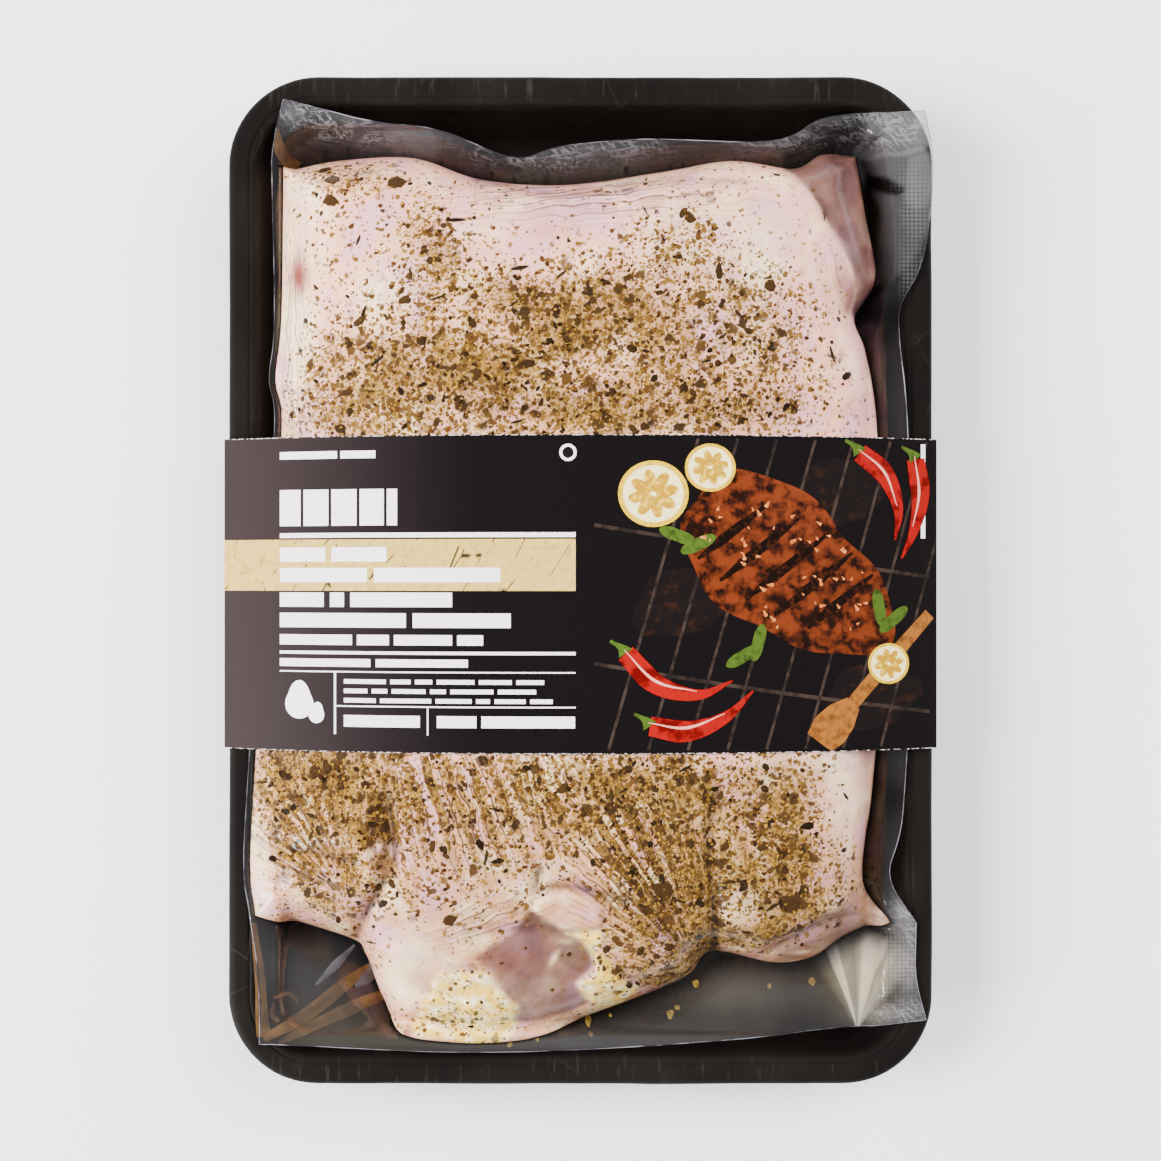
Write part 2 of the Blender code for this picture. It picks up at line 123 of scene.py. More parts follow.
class Recipe:
    """A material under way: one Principled shader and the nodes that feed it."""

    def __init__(self, name: str) -> None:
        """Start a material of this name, with the coordinates that its textures read."""
        self.made = bpy.data.materials.new(name)
        self.made.use_nodes = True
        self.tree = self.made.node_tree
        self.shader = self.tree.nodes["Principled BSDF"]
        self.place = self.add(Op.PLACE)

    def put(self, target: bpy.types.NodeSocket, value: Any) -> None:
        """Feed an input: link another node's output, or set a value or a hex colour."""
        if isinstance(value, bpy.types.NodeSocket):
            self.tree.links.new(value, target)
        else:
            target.default_value = linear(value) if isinstance(value, str) else value

    def add(self, op: Op, *values: Any, **settings: Any) -> bpy.types.NodeSocket:
        """Add a node with its settings and links.

        Args:
            op: what the node does.
            *values: for each of its inputs in order, an output to link, a value or a hex colour.
            **settings: the node's own properties, over those of the op.

        Returns:
            The output that is read; the node's other outputs are reached through it.
        """
        kind, inputs, usual, output = op.value
        node = self.tree.nodes.new(kind)
        for name, value in (usual | settings).items():
            setattr(node, name, value)
        for key, value in zip(inputs, values):
            self.put(node.inputs[key], value)
        return node.outputs[output]

    def finish(self, colour: Any, relief: Any = None, **even: Any) -> bpy.types.Material:
        """Feed the shader and hand over the material.

        Args:
            colour: the base colour.
            relief: the bump's output, if there is one.
            **even: the shader's other inputs, with underscores for spaces.

        Returns:
            The material.
        """
        self.put(self.shader.inputs["Base Color"], colour)
        if relief is not None:
            self.put(self.shader.inputs["Normal"], relief)
        for name, value in even.items():
            self.put(self.shader.inputs[name.replace("_", " ")], value)
        return self.made


def lattice(x: Array, y: Array, cell: float, seed: int) -> Array:
    """Value noise: random heights on a square lattice, joined by smooth steps between its corners.

    Args:
        x: places across, in millimetres.
        y: places along.
        cell: the lattice's spacing.
        seed: the seed of the random heights.

    Returns:
        The noise at each place, from -1 to 1.
    """
    size = 256
    heights = np.random.default_rng(seed).uniform(-1, 1, (size, size))
    column = np.floor(x / cell)
    row = np.floor(y / cell)
    share_x = x / cell - column
    share_y = y / cell - row
    share_x = share_x * share_x * (3 - 2 * share_x)
    share_y = share_y * share_y * (3 - 2 * share_y)
    left = column.astype(int) % size
    low = row.astype(int) % size
    right = (left + 1) % size
    high = (low + 1) % size
    under = heights[left, low] * (1 - share_x) + heights[right, low] * share_x
    over = heights[left, high] * (1 - share_x) + heights[right, high] * share_x
    return under * (1 - share_y) + over * share_y


def cloud(x: Array, y: Array, cell: float, seed: int, layers: int = 3) -> Array:
    """Layered value noise: each layer has half the spacing and half the height of the one before.

    Args:
        x: places across.
        y: places along.
        cell: the widest layer's spacing in millimetres.
        seed: the first layer's seed.
        layers: the number of layers.

    Returns:
        The noise, roughly from -1 to 1.
    """
    height = np.zeros(np.shape(x))
    for layer in range(layers):
        height = height + lattice(x, y, cell / 2 ** layer, seed + layer) / 2 ** layer
    return height / 1.5


def smooth_run(points: Points, steps: int = 10) -> Array:
    """A Catmull-Rom curve: cubic pieces whose slope at a point is half the step between its neighbours.

    Args:
        points: the points that the curve goes through.
        steps: the short straight pieces between two points.

    Returns:
        The curve as a polyline.
    """
    through = np.array(points, dtype=float)
    ends = np.vstack((2 * through[0] - through[1], through, 2 * through[-1] - through[-2]))
    t = np.linspace(0, 1, steps, endpoint=False)[:, None]
    parts = []
    for first, start, end, last in zip(ends, ends[1:], ends[2:], ends[3:]):
        slope = (end - first) / 2
        next_slope = (last - start) / 2
        cubic = 2 * (start - end) + slope + next_slope
        square = 3 * (end - start) - 2 * slope - next_slope
        parts.append(start + t * slope + t ** 2 * square + t ** 3 * cubic)
    return np.vstack(parts + [through[-1:]])


def along(line: Array, fractions: Array) -> Array:
    """Points of a polyline at the given fractions of its length.

    Args:
        line: the polyline.
        fractions: shares of its length, from 0 to 1.

    Returns:
        One point for each fraction.
    """
    lengths = np.concatenate(((0,), np.cumsum(np.linalg.norm(np.diff(line, axis=0), axis=1))))
    wanted = np.asarray(fractions) * lengths[-1]
    return np.stack([np.interp(wanted, lengths, line[:, axis]) for axis in range(line.shape[1])], axis=-1)


def distance_to(line: Array, x: Array, y: Array) -> Array:
    """Distance from each place to a polyline: the least over its segments.

    Args:
        line: the polyline.
        x: places across.
        y: places along.

    Returns:
        The distances in millimetres.
    """
    nearest = np.full(np.shape(x), np.inf)
    for start, end in zip(line, line[1:]):
        run = end - start
        square = max(float(run @ run), 1e-9)
        share = np.clip(((x - start[0]) * run[0] + (y - start[1]) * run[1]) / square, 0, 1)
        gap = (x - start[0] - share * run[0]) ** 2 + (y - start[1] - share * run[1]) ** 2
        nearest = np.minimum(nearest, gap)
    return np.sqrt(nearest)


def inside(outline: Array, x: Array, y: Array) -> Array:
    """Whether each place is in a closed outline, by counting the edges that a ray to its right crosses.

    Args:
        outline: the closed outline's points.
        x: places across.
        y: places along.

    Returns:
        True where the count is odd.
    """
    odd = np.zeros(np.shape(x), dtype=bool)
    for start, end in zip(outline, np.roll(outline, -1, axis=0)):
        if start[1] == end[1]:
            continue
        spans = (start[1] > y) != (end[1] > y)
        crossing = start[0] + (y - start[1]) * (end[0] - start[0]) / (end[1] - start[1])
        odd ^= spans & (x < crossing)
    return odd


def area_share(points: Points, x: Array, y: Array, soft: float, ragged: float = 0.0) -> Array:
    """How much a place belongs to a rounded area: 1 inside, 0 outside, and a soft step at its edge.

    Args:
        points: the area's corners, which a closed smooth curve goes through.
        x: places across.
        y: places along.
        soft: the width of the step in millimetres.
        ragged: how far the edge wanders.

    Returns:
        The share from 0 to 1.
    """
    outline = smooth_run(points + points[:1], 5)
    if ragged:
        x = x + ragged * cloud(x, y, 5.0, SEED + 61)
        y = y + ragged * cloud(x, y, 5.0, SEED + 67)
    gap = distance_to(outline, x, y)
    signed = np.where(inside(outline[:-1], x, y), gap, -gap)
    share = np.clip(0.5 + signed / soft, 0, 1)
    return share * share * (3 - 2 * share)


def grid_faces(rows: int, columns: int, start: int = 0, closed: bool = False) -> Array:
    """The quads of a grid of points stored row by row, wound so that rows cross columns leftwards.

    Args:
        rows: the points along the first way.
        columns: the points along the second way.
        start: the first point's number.
        closed: whether the last column joins the first.

    Returns:
        One row of four point numbers for each quad.
    """
    last = columns if closed else columns - 1
    row = np.arange(rows - 1)[:, None]
    column = np.arange(last)[None, :]
    after = (column + 1) % columns
    corner = start + row * columns
    quads = (corner + column, corner + columns + column, corner + columns + after, corner + after)
    return np.stack([np.broadcast_to(quad, (rows - 1, last)) for quad in quads], axis=-1).reshape(-1, 4)


def turned(u: Array, v: Array, degrees: float) -> Array:
    """Turn places about the origin by an angle: the sum of each one's shares of the two turned axes."""
    cosine, sine = math.cos(math.radians(degrees)), math.sin(math.radians(degrees))
    return np.stack((u * cosine - v * sine, u * sine + v * cosine), axis=-1)


def ribbon(path: Points, widths: tuple[float, ...], rails: int = 2) -> Shape:
    """Give a flat band along a smooth path: points across it at shares of its half width.

    Args:
        path: the points it goes through.
        widths: its widths at even shares of its length.
        rails: the points across it.

    Returns:
        Its points, row by row, and its faces.
    """
    line = smooth_run(path, 8)
    steps = max(3, int(np.linalg.norm(np.diff(line, axis=0), axis=1).sum() / 0.9))
    middle = along(line, np.linspace(0, 1, steps))
    run = np.gradient(middle, axis=0)
    side = np.column_stack((-run[:, 1], run[:, 0])) / np.linalg.norm(run, axis=1, keepdims=True)
    half = np.interp(np.linspace(0, 1, steps), np.linspace(0, 1, len(widths)), widths)[:, None] / 2
    spots = middle[:, None] + (half * side)[:, None] * np.linspace(-1, 1, rails)[:, None]
    return spots.reshape(-1, 2), grid_faces(steps, rails)


def joined(shapes: list[Shape]) -> Shape:
    """Join flat shapes into one, each face turned up: reversed where the cross of its diagonals is negative.

    Args:
        shapes: the points and the faces of each shape.

    Returns:
        All the points and all the faces.
    """
    points = []
    faces = []
    used = 0
    for spots, quads in shapes:
        over = spots[quads[:, 2]] - spots[quads[:, 0]]
        back = spots[quads[:, 3]] - spots[quads[:, 1]]
        upward = over[:, 0] * back[:, 1] > over[:, 1] * back[:, 0]
        points.append(spots)
        faces.append(used + np.where(upward[:, None], quads, quads[:, ::-1]))
        used += len(spots)
    return np.vstack(points), np.vstack(faces)


def skirt(loop: Array, after: Array) -> Array:
    """Give the quads between a closed loop of point numbers and the next loop out."""
    return np.column_stack((loop, after, np.roll(after, -1), np.roll(loop, -1)))


def make_piece(name: str, points: Array, faces: list[Array], materials: list[bpy.types.Material],
               paints: dict[str, Array] | None = None, smooth: bool = True,
               slots: Array | None = None) -> bpy.types.Object:
    """Put points and faces into a mesh object at the origin.

    Args:
        name: the piece's name.
        points: its points in millimetres.
        faces: arrays of faces, each with the same number of corners throughout.
        materials: its finishes.
        paints: for each attribute's name, four values for each point.
        smooth: whether it is shaded smooth.
        slots: for each face, the number of its finish.

    Returns:
        The object.
    """
    mesh = bpy.data.meshes.new(name)
    corners = np.concatenate([group.ravel() for group in faces]).astype(np.int32)
    counts = np.concatenate([np.full(len(group), group.shape[1], np.int32) for group in faces])
    starts = np.concatenate(((0,), np.cumsum(counts)[:-1])).astype(np.int32)
    mesh.vertices.add(len(points))
    mesh.vertices.foreach_set("co", (np.asarray(points, np.float64) * MM).astype(np.float32).ravel())
    mesh.loops.add(len(corners))
    mesh.loops.foreach_set("vertex_index", corners)
    mesh.polygons.add(len(counts))
    mesh.polygons.foreach_set("loop_start", starts)
    mesh.polygons.foreach_set("loop_total", counts)
    mesh.update(calc_edges=True)
    mesh.validate()
    mesh.polygons.foreach_set("use_smooth", np.full(len(mesh.polygons), smooth))
    for material in materials:
        mesh.materials.append(material)
    if slots is not None:
        mesh.polygons.foreach_set("material_index", slots.astype(np.int32))
    for paint, values in (paints or {}).items():
        layer = mesh.color_attributes.new(paint, "FLOAT_COLOR", "POINT")
        layer.data.foreach_set("color", np.asarray(values, np.float32).ravel())
    piece = bpy.data.objects.new(name, mesh)
    bpy.context.scene.collection.objects.link(piece)
    LOG.info("%s: %d points, %d faces", name, len(points), len(counts))
    return piece


def dress(piece: bpy.types.Object) -> bpy.types.Object:
    """Make a piece ride with the pack.

    Args:
        piece: the finished piece.

    Returns:
        The same piece.
    """
    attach(piece, "root")
    return piece


@dataclass(frozen=True)
class FoamFinish:
    """Black expanded polystyrene, thermoformed: a dull skin over fine beads, with pale stress marks."""

    body: str = "#0d0b0a"
    lit: str = "#151210"
    stress: str = "#39342f"
    bead: float = 1.6
    tick: float = 1.3
    roughness: float = 0.58

    def material(self, half_length: float) -> bpy.types.Material:
        """Build the finish. The stress marks keep to the ends of the tray.

        Args:
            half_length: half the tray's length in millimetres.

        Returns:
            The material.
        """
        recipe = Recipe("expanded_polystyrene")
        add, place = recipe.add, recipe.place
        broad = add(Op.RAMP, add(Op.NOISE, place, per(38), 4.0), 0.35, 0.7)
        colour = add(Op.MIX, broad, self.body, self.lit)
        ends = add(Op.ABS, add(Op.AXES, place).node.outputs[1])
        ends = add(Op.RAMP, ends, (half_length - 12) * MM, (half_length - 5) * MM)
        drawn = add(Op.TURN, place, (0, 0, 0), (1.0, 0.12, 0.12), vector_type="POINT")
        ticks = add(Op.TIMES, add(Op.RAMP, add(Op.NOISE, drawn, per(self.tick), 2.0), 0.58, 0.78), ends)
        scratches = add(Op.RAMP, add(Op.CRACKS, place, per(21)), 0.012, 0.002)
        patches = add(Op.RAMP, add(Op.NOISE, place, per(30)), 0.55, 0.7)
        marks = add(Op.MOST, ticks, add(Op.TIMES, scratches, patches))
        colour = add(Op.MIX, add(Op.TIMES, marks, 0.32), colour, self.stress)
        relief = add(Op.BUMP, add(Op.CELLS, place, per(self.bead)), 0.05, 0.1 * MM)
        return recipe.finish(colour, relief, Roughness=self.roughness, Specular_IOR_Level=0.15)


@dataclass(frozen=True)
class CardFinish:
    """Coated folding boxboard printed near black: soft sheen, a painted sheen that lightens it towards the
    left, and a pale worn line where it was die-cut.
    """

    ink: str = "#0b0708"
    left_sheen: str = "#2c2324"
    board: str = "#c9c2bb"
    speck: str = "#2f292b"
    wear: float = 0.3
    roughness: float = 0.5

    def material(self, low_y: float, high_y: float) -> bpy.types.Material:
        """Build the printed face.

        Args:
            low_y: where the band starts along the tray, in millimetres.
            high_y: where it ends.

        Returns:
            The material.
        """
        recipe = Recipe("printed_boxboard")
        add, place = recipe.add, recipe.place
        middle = (low_y + high_y) / 2 * MM
        half = (high_y - low_y) / 2 * MM
        across, up, _ = add(Op.AXES, place).node.outputs
        # Painted sheen: the ink turns lighter towards the left edge, in place of the reflection of light
        # from the left.
        colour = add(Op.MIX, add(Op.RAMP, across, -25 * MM, -112 * MM), self.ink, self.left_sheen)
        off = add(Op.ABS, add(Op.MINUS, up, middle))
        rim = add(Op.RAMP, off, half - self.wear * MM, half - self.wear / 3 * MM)
        flecks = add(Op.RAMP, add(Op.NOISE, place, per(0.9), 3.0), 0.46, 0.6)
        colour = add(Op.MIX, add(Op.TIMES, rim, flecks), colour, self.board)
        grain = add(Op.NOISE, place, per(0.5), 2.0)
        colour = add(Op.MIX, add(Op.TIMES, add(Op.RAMP, grain, 0.66, 0.8), 0.25), colour, self.speck)
        relief = add(Op.BUMP, grain, 0.08, 0.05 * MM)
        return recipe.finish(colour, relief, Roughness=self.roughness, Specular_IOR_Level=0.15)


@dataclass(frozen=True)
class InkFinish:
    """A field of flat printing ink: one colour, with a darker tone that mottles or scratches it."""

    name: str
    colour: str
    second: str
    grain: float = 1.2
    amount: float = 0.25
    low: float = 0.45
    high: float = 0.7
    roughness: float = 0.45
    shine: float = 0.18
    scratched: bool = False

    def material(self) -> bpy.types.Material:
        """Build the finish.

        Returns:
            The material.
        """
        recipe = Recipe(self.name)
        add, place = recipe.add, recipe.place
        mottle = add(Op.NOISE, place, per(self.grain), 5.0, 0.6)
        share = add(Op.TIMES, add(Op.RAMP, mottle, self.low, self.high), self.amount)
        if self.scratched:
            drawn = add(Op.TURN, place, (0, 0, math.radians(58)), (6.0, 1.0, 1.0))
            lines = add(Op.RAMP, add(Op.CRACKS, drawn, per(7)), 0.03, 0.004)
            broken = add(Op.RAMP, add(Op.NOISE, place, per(5)), 0.48, 0.6)
            share = add(Op.MOST, share, add(Op.TIMES, lines, broken))
        colour = add(Op.MIX, share, self.colour, self.second)
        return recipe.finish(colour, Roughness=self.roughness, Specular_IOR_Level=self.shine)


@dataclass(frozen=True)
class SkinFinish:
    """Raw poultry: pale skin with lilac and cream tones, bare muscle, soft fat and rubbed-in spice.

    It reads three painted attributes. In "flesh" they are muscle, fat, spice and darkness, the darkness
    being painted shade in creases, hollows and along edges; in "tint" lilac, cream, warmth and redness,
    where cream also holds painted highlights and warmth a painted falloff of the light towards the lower
    end; and in "streaks" a count of the skin's grooves and their strength.
    """

    skin: str = "#f1b092"
    lilac: str = "#d9a3ba"
    cream: str = "#fff0c4"
    warm: str = "#c08a5c"
    red: str = "#8d413b"
    muscle: str = "#4d302e"
    muscle_light: str = "#734a49"
    fat: str = "#eac24e"
    tan: str = "#987238"
    grain: str = "#4a2c12"
    clump: str = "#331c08"
    smear: str = "#6a461f"
    shade: str = "#241003"
    follicle: float = 2.1
    kinds: tuple[tuple[float, float, str, str], ...] = (
        (0.8, 0.95, "#543a12", "#9c782e"), (1.5, 0.7, "#33200a", "#7a561e"), (3, 0.3, "#1c0f02", "#573a14"),
    )

    def grains(self, recipe: Recipe, spice: Any, size: float, fill: float) -> tuple[Any, Any]:
        """Draw ground spice: uneven dots, one to a random cell, of which more show as the spice thickens.

        Args:
            recipe: the material under way.
            spice: the painted share's output.
            size: the cells' size in millimetres.
            fill: the share of cells that hold a grain under full spice.

        Returns:
            The grains' output, and one that gives each grain its own tone.
        """
        add, place = recipe.add, recipe.place
        bend = add(Op.NOISE, place, per(0.8 * size), 3.0).node.outputs["Color"]
        near = add(Op.CELLS, add(Op.SHIFT, bend, (0.9 * size * MM,) * 3, place), per(size))
        chance, tone, _ = add(Op.PARTS, near.node.outputs["Color"]).node.outputs
        held = add(Op.MINUS, add(Op.TIMES, spice, fill), chance)
        return add(Op.TIMES, add(Op.RAMP, held, -0.02, 0.05), add(Op.RAMP, near, 0.7, 0.5)), tone

    def material(self) -> bpy.types.Material:
        """Build the finish: skin tones, then muscle and fat, then spice, and painted shade over them in
        groove lines and the darkness share.

        Returns:
            The material.
        """
        recipe = Recipe("raw_poultry_skin")
        add, place = recipe.add, recipe.place
        flesh, tint, streaks = (add(Op.PAINT, attribute_name=name) for name in ("flesh", "tint", "streaks"))
        muscle_share, fat_share, spice = add(Op.PARTS, flesh).node.outputs
        phase, pull, _ = add(Op.PARTS, streaks).node.outputs
        broad = add(Op.NOISE, place, per(14), 5.0)
        small = add(Op.NOISE, place, per(3.2), 4.0)
        patchy = add(Op.NOISE, place, per(6), 4.0)
        colour = self.skin
        for share, tone in zip(add(Op.PARTS, tint).node.outputs, (self.lilac, self.cream, self.warm)):
            colour = add(Op.MIX, share, colour, tone)
        for noise, low, high, tone, amount in (
                (broad, 0.48, 0.68, self.cream, 0.5), (broad, 0.5, 0.34, self.lilac, 0.6),
                (small, 0.46, 0.36, self.lilac, 0.4), (small, 0.58, 0.78, self.warm, 0.25)):
            colour = add(Op.MIX, add(Op.TIMES, add(Op.RAMP, noise, low, high), amount), colour, tone)
        drawn = add(Op.TURN, place, (0, 0, math.radians(35)), (6.0, 1.0, 1.0))
        fibres = add(Op.MIX, 0.5, add(Op.NOISE, drawn, per(2.6), 4.0), broad)
        muscle = add(Op.MIX, add(Op.RAMP, fibres, 0.38, 0.68), self.muscle, self.muscle_light)
        colour = add(Op.MIX, muscle_share, colour, muscle)
        fat = add(Op.MIX, add(Op.RAMP, small, 0.4, 0.7), self.fat, self.cream)
        colour = add(Op.MIX, fat_share, colour, fat)
        colour = add(Op.MIX, tint.node.outputs["Alpha"], colour, self.red)
        phase = add(Op.PLUS, phase, add(Op.NOISE, place, per(9), 1.0))
        streaked = add(Op.RAMP, add(Op.RUN, add(Op.TIMES, phase, 1.3), 1.0, 3.0), 0.4, 0.6)
        rubbed = add(Op.TIMES, add(Op.TIMES, streaked, add(Op.RAMP, patchy, 0.36, 0.56)), pull)
        colour = add(Op.MIX, add(Op.TIMES, rubbed, 0.55), colour, self.smear)
        parted = add(Op.MIX, add(Op.TIMES, pull, 0.85), "#ffffff", add(Op.TIMES, streaked, 1.7))
        spice = add(Op.TIMES, spice, parted)
        oiled = add(Op.TIMES, add(Op.RAMP, spice, 0.1, 1.0), add(Op.RAMP, patchy, 0.1, 0.5))
        colour = add(Op.MIX, oiled, colour, self.tan)
        for size, fill, dark, light in self.kinds:
            shown, tone = self.grains(recipe, spice, size, fill)
            colour = add(Op.MIX, shown, colour, add(Op.MIX, tone, dark, light))
        clumps = add(Op.TIMES, add(Op.RAMP, patchy, 0.62, 0.72), add(Op.RAMP, spice, 0.35, 0.8))
        colour = add(Op.MIX, add(Op.TIMES, clumps, 0.85), colour, self.clump)
        # Painted shade: lines along the skin's grooves are darkened in the grain brown, and sunk into the
        # bump.
        creased = 0.0
        for folds, width in ((1.0, 0.34), (2.0, 0.26)):
            wave = add(Op.ABS, add(Op.SINE, add(Op.TIMES, phase, math.pi * folds)))
            line = add(Op.TIMES, add(Op.RAMP, wave, width, width * 0.2), pull)
            kept = add(Op.RAMP, patchy, 0.14 + 0.1 * folds, 0.34 + 0.1 * folds)
            creased = add(Op.MOST, add(Op.TIMES, line, kept), creased)
        colour = add(Op.MIX, creased, colour, self.grain)
        colour = add(Op.MIX, add(Op.TIMES, flesh.node.outputs["Alpha"], 0.9), colour, self.shade)
        height = add(Op.PLUS, add(Op.CELLS, place, per(self.follicle)), small)
        height = add(Op.BLEND, creased, -1.2, height, use_clamp=False)
        relief = add(Op.BUMP, height, 0.45, 0.35 * MM)
        return recipe.finish(colour, relief, Roughness=0.4, Subsurface_Weight=0.08,
                             Subsurface_Radius=(0.9, 0.35, 0.2), Subsurface_Scale=1.5 * MM,
                             Specular_IOR_Level=0.3, Coat_Weight=0.12, Coat_Roughness=0.16)


@dataclass(frozen=True)
class FilmFinish:
    """Clear co-extruded vacuum film: nearly unseen where it clings, milky and glinting where it is loose.

    Its painted attribute "film" holds milkiness, creases, the seal's embossing and a cream tone, and
    "pleat_shading" the way round a gathered corner, as a share of a half turn, and how strongly it is
    pleated there. The milkiness also
    carries painted reflections: silver corners and facets, bright crease lines and embossing, and lit and
    shaded pleat facets.
    """

    milk: str = "#6b686c"
    cream: str = "#9b9078"
    mirror: str = "#ffffff"
    emboss: float = 1.25
    crease: float = 0.8
    # Painted light and shade: each stop gives how lit the gathered corner's facet at that way round is
    # painted.
    pleat_shading: tuple[tuple[float, float], ...] = (
        (0.26, 0.0), (0.31, 0.3), (0.36, 0.5), (0.39, 0.35), (0.40, 0.8), (0.455, 1.0), (0.475, 0.5),
        (0.50, 0.28), (0.56, 0.4), (0.57, 1.0), (0.61, 0.75), (0.62, 0.16), (0.70, 0.0),
    )

    def material(self) -> bpy.types.Material:
        """Build the finish.

        Returns:
            The material.
        """
        recipe = Recipe("vacuum_film")
        add, place = recipe.add, recipe.place
        paint = add(Op.PAINT, attribute_name="film")
        haze_and_glare, folded, pressed = add(Op.PARTS, paint).node.outputs
        clusters = add(Op.NOISE, place, per(7), 3.0)
        creased = 0.0
        for degrees in (-32, -58, 8):
            drawn = add(Op.TURN, place, (0, 0, math.radians(degrees)), (9.0, 1.0, 1.0))
            lines = add(Op.RAMP, add(Op.NOISE, drawn, per(self.crease), 2.0), 0.54, 0.63)
            creased = add(Op.MOST, lines, creased)
        creased = add(Op.TIMES, add(Op.TIMES, creased, add(Op.RAMP, clusters, 0.34, 0.56)), folded)
        weave = add(Op.RAMP, add(Op.WEAVE, place, per(self.emboss), 0.0), 0.42, 0.3)
        sealed = add(Op.TIMES, add(Op.TIMES, weave, add(Op.RAMP, clusters, 0.3, 0.5)), pressed)
        turn, reach, _ = add(Op.PARTS, add(Op.PAINT, attribute_name="pleat_shading")).node.outputs
        facets = add(Op.STOPS, turn)
        stops = facets.node.color_ramp.elements
        stops.remove(stops[1])
        for number, (spot, shade) in enumerate(self.pleat_shading):
            stop = stops[0] if number == 0 else stops.new(spot)
            stop.position = spot
            stop.color = (shade, shade, shade, 1.0)
        # Wet skin under clinging film shows through most of its shine.
        shine = add(Op.BLEND, add(Op.RAMP, haze_and_glare, 0.004, 0.03), 0.65, 0.35)
        # Painted reflections: bright crease lines, the pleat facets' light and shade and the brighter
        # embossing are added to the milkiness; the crease lines and embossing are bumped as well.
        haze_and_glare = add(Op.PLUS, haze_and_glare, add(Op.TIMES, creased, 0.75))
        haze_and_glare = add(Op.PLUS, haze_and_glare, add(Op.TIMES, facets, reach))
        haze_and_glare = add(Op.BLEND, sealed, 0.35, haze_and_glare)
        relief = add(Op.BUMP, add(Op.PLUS, creased, sealed), 0.35, 0.3 * MM)
        milk = add(Op.MIX, paint.node.outputs["Alpha"], self.milk, self.cream)
        made = recipe.finish(milk, relief, Roughness=0.32)
        body = add(Op.JOIN, haze_and_glare, add(Op.CLEAR), recipe.shader.outputs[0])
        bounce = add(Op.TIMES, add(Op.BOUNCE, 1.42, relief), shine)
        glint = add(Op.JOIN, bounce, body, add(Op.GLOSS, self.mirror, 0.11, relief))
        recipe.put(recipe.tree.nodes["Material Output"].inputs["Surface"], glint)
        return made


@dataclass(frozen=True)
class BrineFinish:
    """Butter brine between two films: clear amber, wet and glossy."""

    name: str = "amber_brine"
    thin: str = "#6f4d26"
    thick: str = "#3c2814"
    alpha: float = 0.5

    def material(self) -> bpy.types.Material:
        """Build the finish.

        Returns:
            The material.
        """
        recipe = Recipe(self.name)
        depth = recipe.add(Op.RAMP, recipe.add(Op.NOISE, recipe.place, per(6), 3.0), 0.35, 0.7)
        colour = recipe.add(Op.MIX, depth, self.thin, self.thick)
        return recipe.finish(colour, Alpha=recipe.add(Op.BLEND, depth, 0.3, self.alpha), Roughness=0.12)


@dataclass(frozen=True)
class SpiceFinish:
    """Dried herb or ground spice, damp with brine: each grain has its own tone, painted as "tone"."""

    name: str
    dark: str
    light: str
    roughness: float = 0.5

    def material(self) -> bpy.types.Material:
        """Build the finish.

        Returns:
            The material.
        """
        recipe = Recipe(self.name)
        tone = recipe.add(Op.PAINT, attribute_name="tone").node.outputs["Fac"]
        fleck = recipe.add(Op.NOISE, recipe.place, per(0.7), 2.0)
        share = recipe.add(Op.RAMP, recipe.add(Op.PLUS, tone, fleck), 0.45, 1.35)
        colour = recipe.add(Op.MIX, share, self.dark, self.light)
        return recipe.finish(colour, Roughness=self.roughness, Specular_IOR_Level=0.1)


